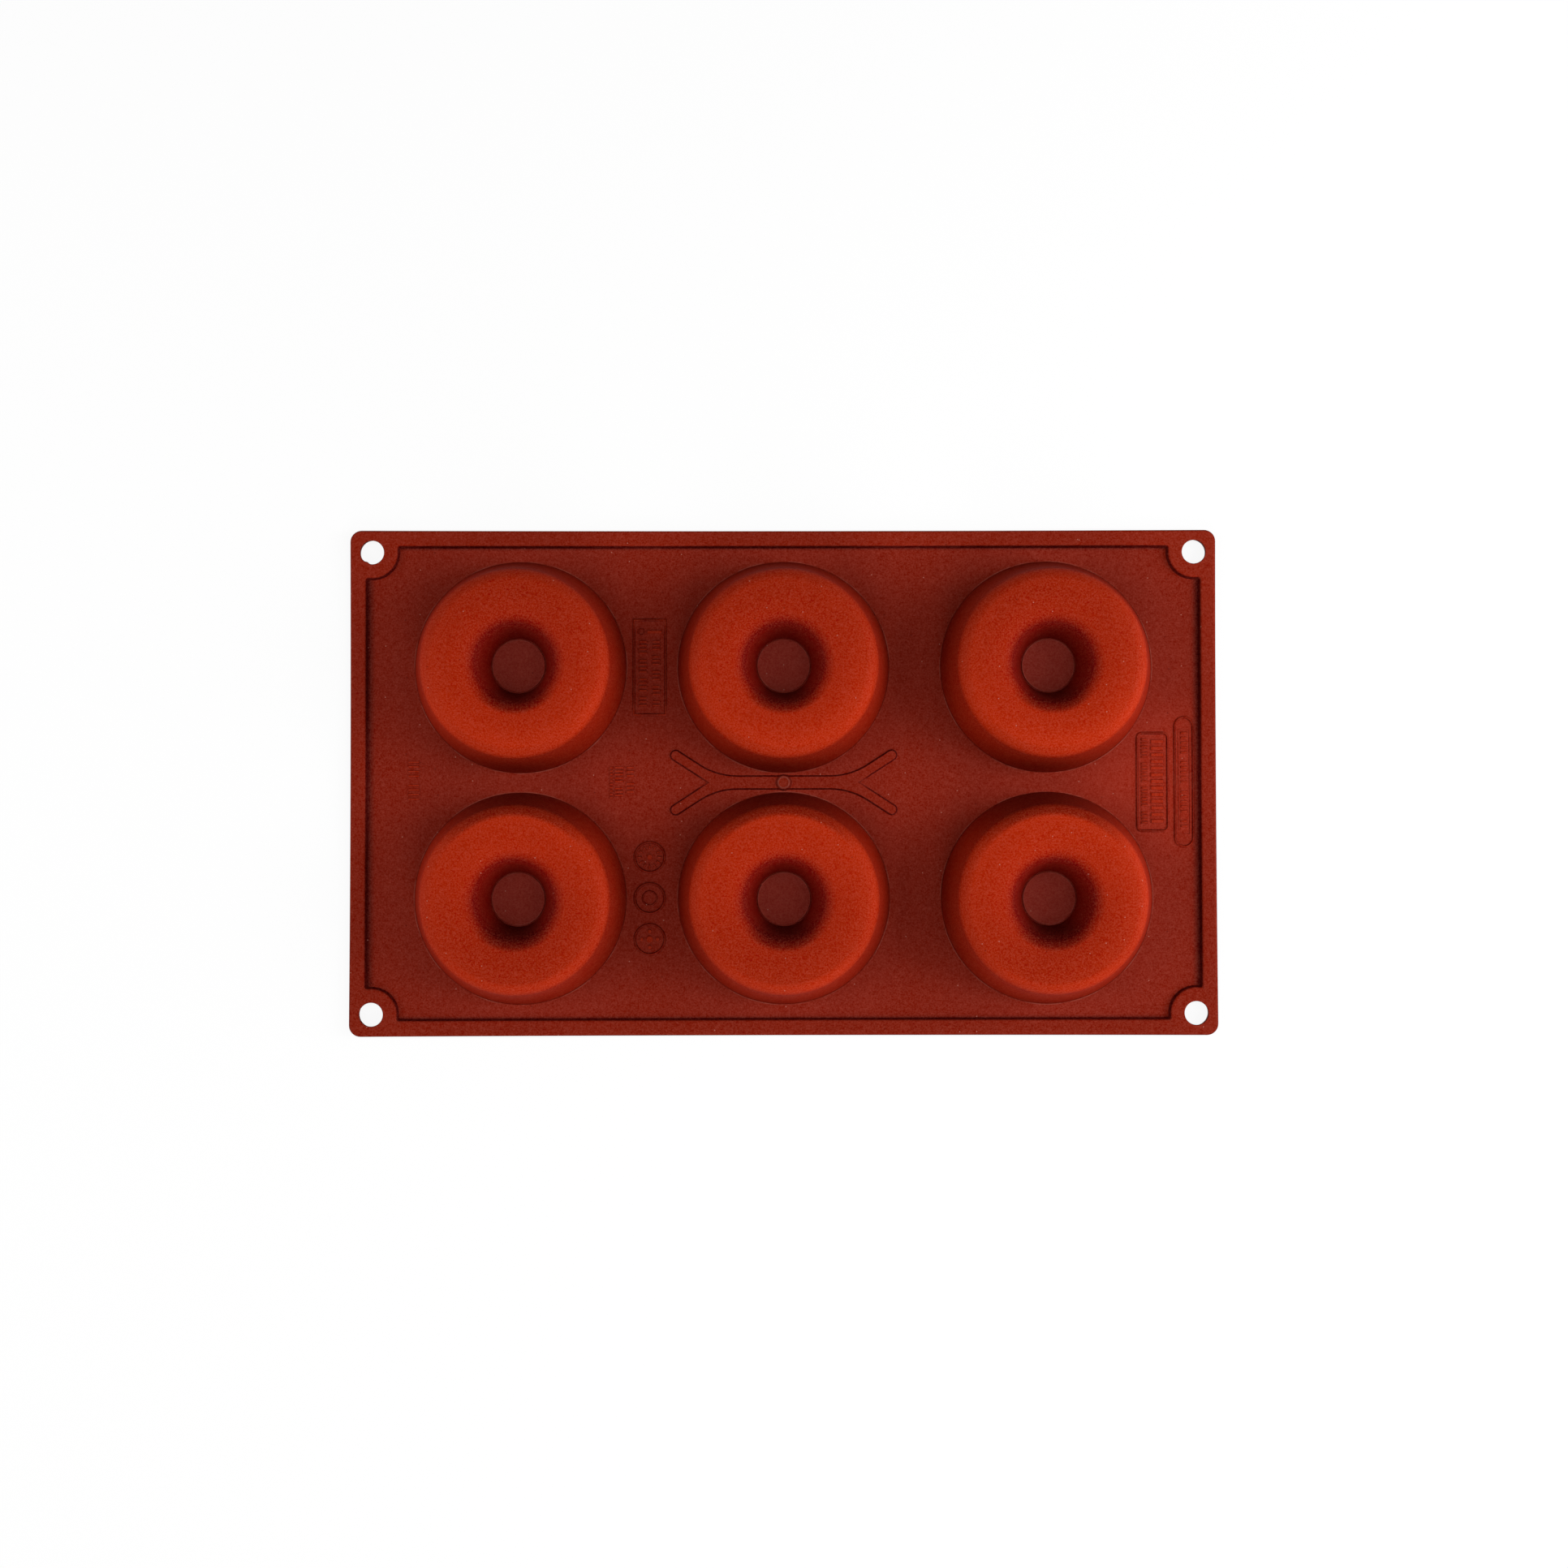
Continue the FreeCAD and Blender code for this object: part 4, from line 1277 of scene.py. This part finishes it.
def silicone(sheet, ring, rib, finish):
    """Matte silicone rubber: colour with painted light, painted highlights and painted shade on crowns,
    walls, wells, marks, moulding lines and border, with fine grain, a pale speckle and dust.
    """
    material = bpy.data.materials.new("mould_silicone")
    shader = Shader(material)
    spot = Spot(shader, sheet, ring)
    place = spot.place
    foot = foot_radius(sheet, ring)
    in_ring = shader.rising(spot.reach, foot + EDGE_BLUR, foot - EDGE_BLUR)
    tone = shader.mixed(in_ring, sheet_tone(shader, spot, sheet, ring, finish),
                        ring_tone(shader, spot, sheet, ring, finish))

    blotch = shader.noise(place, *BLOTCH)
    tone = shader.times(tone, shader.math("ADD", shader.scaled(shader.noise(place, *CLOUD), *CLOUD_LEVEL),
                                          shader.scaled(blotch, *BLOTCH_LEVEL)))
    grain = shader.noise(place, finish.grain_size, GRAIN_DETAIL, GRAIN_ROUGHNESS)
    mottle = shader.noise(place, finish.grain_size * MOTTLE_SIZE, GRAIN_DETAIL)
    low = shader.rising(spot.z, *(ring.height - depth for depth in CROWN_DEPTH))
    fine = shader.product(shader.scaled(grain, *EVEN), shader.scaled(low, finish.grain, finish.low_grain))
    coarse = shader.product(shader.scaled(mottle, *EVEN), shader.scaled(low, 0.0, finish.mottle))
    tone = shader.more(tone, shader.math("ADD", fine, coarse), SPECKLE)

    patchy = shader.rising(shader.noise(place, *PATCHES), *PATCH_RANGE)
    pale, dark = line_marks(shader, spot, sheet, ring, rib, patchy)
    # Painted highlights along the beads, the disc lips and the gate's rim.
    tone = shader.tinted(tone, pale, finish.bloom_and_painted_highlight)
    # Painted shade along the rings' feet and round the gate.
    tone = shader.tinted(tone, dark, finish.painted_deep_shade)

    level = shader.rising(spot.facing, *TOP_FACING)
    for pattern, strength, rgb in ((DUST, finish.dust, finish.bloom_and_painted_highlight),
                                   (DIRT, finish.dust * DIRT_STRENGTH, DIRT_COLOUR)):
        specks = shader.product(shader.specks(place, *pattern), level, strength)
        tone = shader.tinted(tone, specks, rgb)

    height = shader.math("ADD", grain, shader.product(blotch, BLOTCH_HEIGHT))
    relief = shader.node("ShaderNodeBump", {
        "Height": height, "Strength": RELIEF_STRENGTH, "Distance": finish.relief,
    })
    body = shader.node("ShaderNodeBsdfPrincipled", {
        "Base Color": tone, "Roughness": shader.scaled(blotch, *DULLNESS),
        "Normal": relief.outputs["Normal"], "IOR": SILICONE_IOR, "Specular IOR Level": SILICONE_SPECULAR,
    })
    shader.node("ShaderNodeOutputMaterial", {"Surface": body.outputs["BSDF"]})
    return material


# Stage

FLOOR_REACH = 3.0
LAMP_WIDTH, LAMP_HEIGHT = 0.5, 0.8
LAMP_PLACES = {
    "key_low": (0.89, 0.0, 0.325),
    "key_high": (0.615, 0.0, 0.615),
    "fill_low": (-1.08, 0.0, 0.23),
    "fill_high": (-0.78, 0.0, 0.78),
    "front": (0.09, -0.99, 0.465),
    "top": (0.04, 0.0, 1.1),
}
CAMERA_ASIDE = (-3.7 * MM, -18.8 * MM)
CAMERA_TURN = (1.40, -0.29, -0.10)  # in degrees
SENSOR_WIDTH = 36.0


def seen_rays(shader):
    """1 for rays from the camera, and for reflected and refracted ones, and 0 for the rest."""
    rays = shader.node("ShaderNodeLightPath")
    seen = shader.math("MAXIMUM", rays.outputs["Is Camera Ray"], rays.outputs["Is Glossy Ray"])
    return shader.math("MAXIMUM", seen, rays.outputs["Is Transmission Ray"])


def floor_material(stage):
    """White floor. To the eye, only a share of its white takes the shadow, and the rest is even."""
    material = bpy.data.materials.new("floor_white")
    shader = Shader(material)
    seen = seen_rays(shader)
    dull = shader.node("ShaderNodeBsdfDiffuse", {
        "Color": shader.scaled(seen, stage.floor_white, stage.floor_shade),
    })
    glow = shader.node("ShaderNodeEmission", {
        "Strength": shader.math("MULTIPLY", seen, 1 - stage.floor_shade),
    })
    both = shader.node("ShaderNodeAddShader", {0: dull.outputs[0], 1: glow.outputs[0]})
    shader.node("ShaderNodeOutputMaterial", {"Surface": both.outputs[0]})
    return material


def add_world(stage):
    """Light grey surroundings to the eye, and an even, weaker light on the object."""
    world = bpy.data.worlds.new("plain_sky")
    bpy.context.scene.world = world
    shader = Shader(world)
    strength = shader.scaled(seen_rays(shader), stage.sky, 1.0)
    background = shader.node("ShaderNodeBackground", {"Strength": strength})
    shader.node("ShaderNodeOutputWorld", {"Surface": background.outputs[0]})


def add_floor(stage):
    """Wide flat floor under the mould."""
    mesh = bpy.data.meshes.new("floor")
    corners = [(a * FLOOR_REACH, b * FLOOR_REACH, 0) for a, b in ((-1, -1), (1, -1), (1, 1), (-1, 1))]
    mesh.from_pydata(corners, [], [(0, 1, 2, 3)])
    mesh.materials.append(floor_material(stage))
    floor = bpy.data.objects.new("floor", mesh)
    bpy.context.scene.collection.objects.link(floor)


def add_lamp(name, watts, place):
    """Tall soft lamp that faces the middle of the sheet."""
    data = bpy.data.lights.new(name, "AREA")
    data.energy = watts
    data.shape = "RECTANGLE"
    data.size, data.size_y = LAMP_WIDTH, LAMP_HEIGHT
    lamp = bpy.data.objects.new(name, data)
    lamp.location = place
    lamp.rotation_euler = Vector(place).to_track_quat("Z", "Y").to_euler()
    bpy.context.scene.collection.objects.link(lamp)


def add_camera(stage):
    """Camera straight above the sheet, with the slight tilt of the photograph."""
    data = bpy.data.cameras.new("camera")
    data.lens = stage.lens
    data.sensor_width = SENSOR_WIDTH
    camera = bpy.data.objects.new("camera", data)
    camera.location = (*CAMERA_ASIDE, stage.camera_height)
    camera.rotation_euler = [math.radians(degrees) for degrees in CAMERA_TURN]
    bpy.context.scene.collection.objects.link(camera)
    bpy.context.scene.camera = camera


# Operators, panel and registration


class MOULD_OT_skin(bpy.types.Operator):
    """Builds the moulded silicone sheet with its finish"""
    bl_idname = "mould.skin"
    bl_label = "Build mould"

    def execute(self, context):
        scene = context.scene
        skin = build_skin(scene.mould_sheet, scene.mould_ring, scene.mould_rib, scene.mould_marks)
        skin.data.materials.append(silicone(scene.mould_sheet, scene.mould_ring, scene.mould_rib,
                                            scene.mould_finish))
        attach(skin, BODY)
        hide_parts(NODE)
        return {"FINISHED"}


class MOULD_OT_stage(bpy.types.Operator):
    """Adds the floor, the lamps, the surroundings and the camera"""
    bl_idname = "mould.stage"
    bl_label = "Build stage"

    def execute(self, context):
        stage = context.scene.mould_stage
        add_floor(stage)
        add_world(stage)
        for name, place in LAMP_PLACES.items():
            add_lamp(name, getattr(stage, name), place)
        add_camera(stage)
        context.scene.view_settings.view_transform = "Standard"
        return {"FINISHED"}


class MOULD_PT_panel(bpy.types.Panel):
    """Lists the sizes, colours and steps of the mould"""
    bl_idname = "MOULD_PT_panel"
    bl_label = "Silicone baba mould"
    bl_space_type = "VIEW_3D"
    bl_region_type = "UI"
    bl_category = "Mould"

    def draw(self, context):
        for name in GROUPS:
            box = self.layout.box()
            group = getattr(context.scene, name)
            box.label(text=GROUPS[name].__doc__)
            for prop in GROUPS[name].__annotations__:
                box.prop(group, prop)
        for step in STEPS:
            self.layout.operator(step.bl_idname)


GROUPS = {
    "mould_sheet": MouldSheetSizes,
    "mould_ring": MouldRingSizes,
    "mould_rib": MouldRibSizes,
    "mould_marks": MouldMarkSizes,
    "mould_finish": MouldFinish,
    "mould_stage": MouldStage,
}
STEPS = (MOULD_OT_skin, MOULD_OT_stage)


def register():
    """Makes the settings, the steps and the panel known to Blender."""
    for name, group in GROUPS.items():
        bpy.utils.register_class(group)
        setattr(bpy.types.Scene, name, PointerProperty(type=group))
    for item in (*STEPS, MOULD_PT_panel):
        bpy.utils.register_class(item)


def unregister():
    """Takes them away again."""
    for item in (MOULD_PT_panel, *reversed(STEPS)):
        bpy.utils.unregister_class(item)
    for name, group in reversed(GROUPS.items()):
        delattr(bpy.types.Scene, name)
        bpy.utils.unregister_class(group)


def main():
    """Builds the mould and its stage."""
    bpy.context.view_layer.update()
    register()
    bpy.ops.mould.skin()
    bpy.ops.mould.stage()


if __name__ == "__main__":
    main()
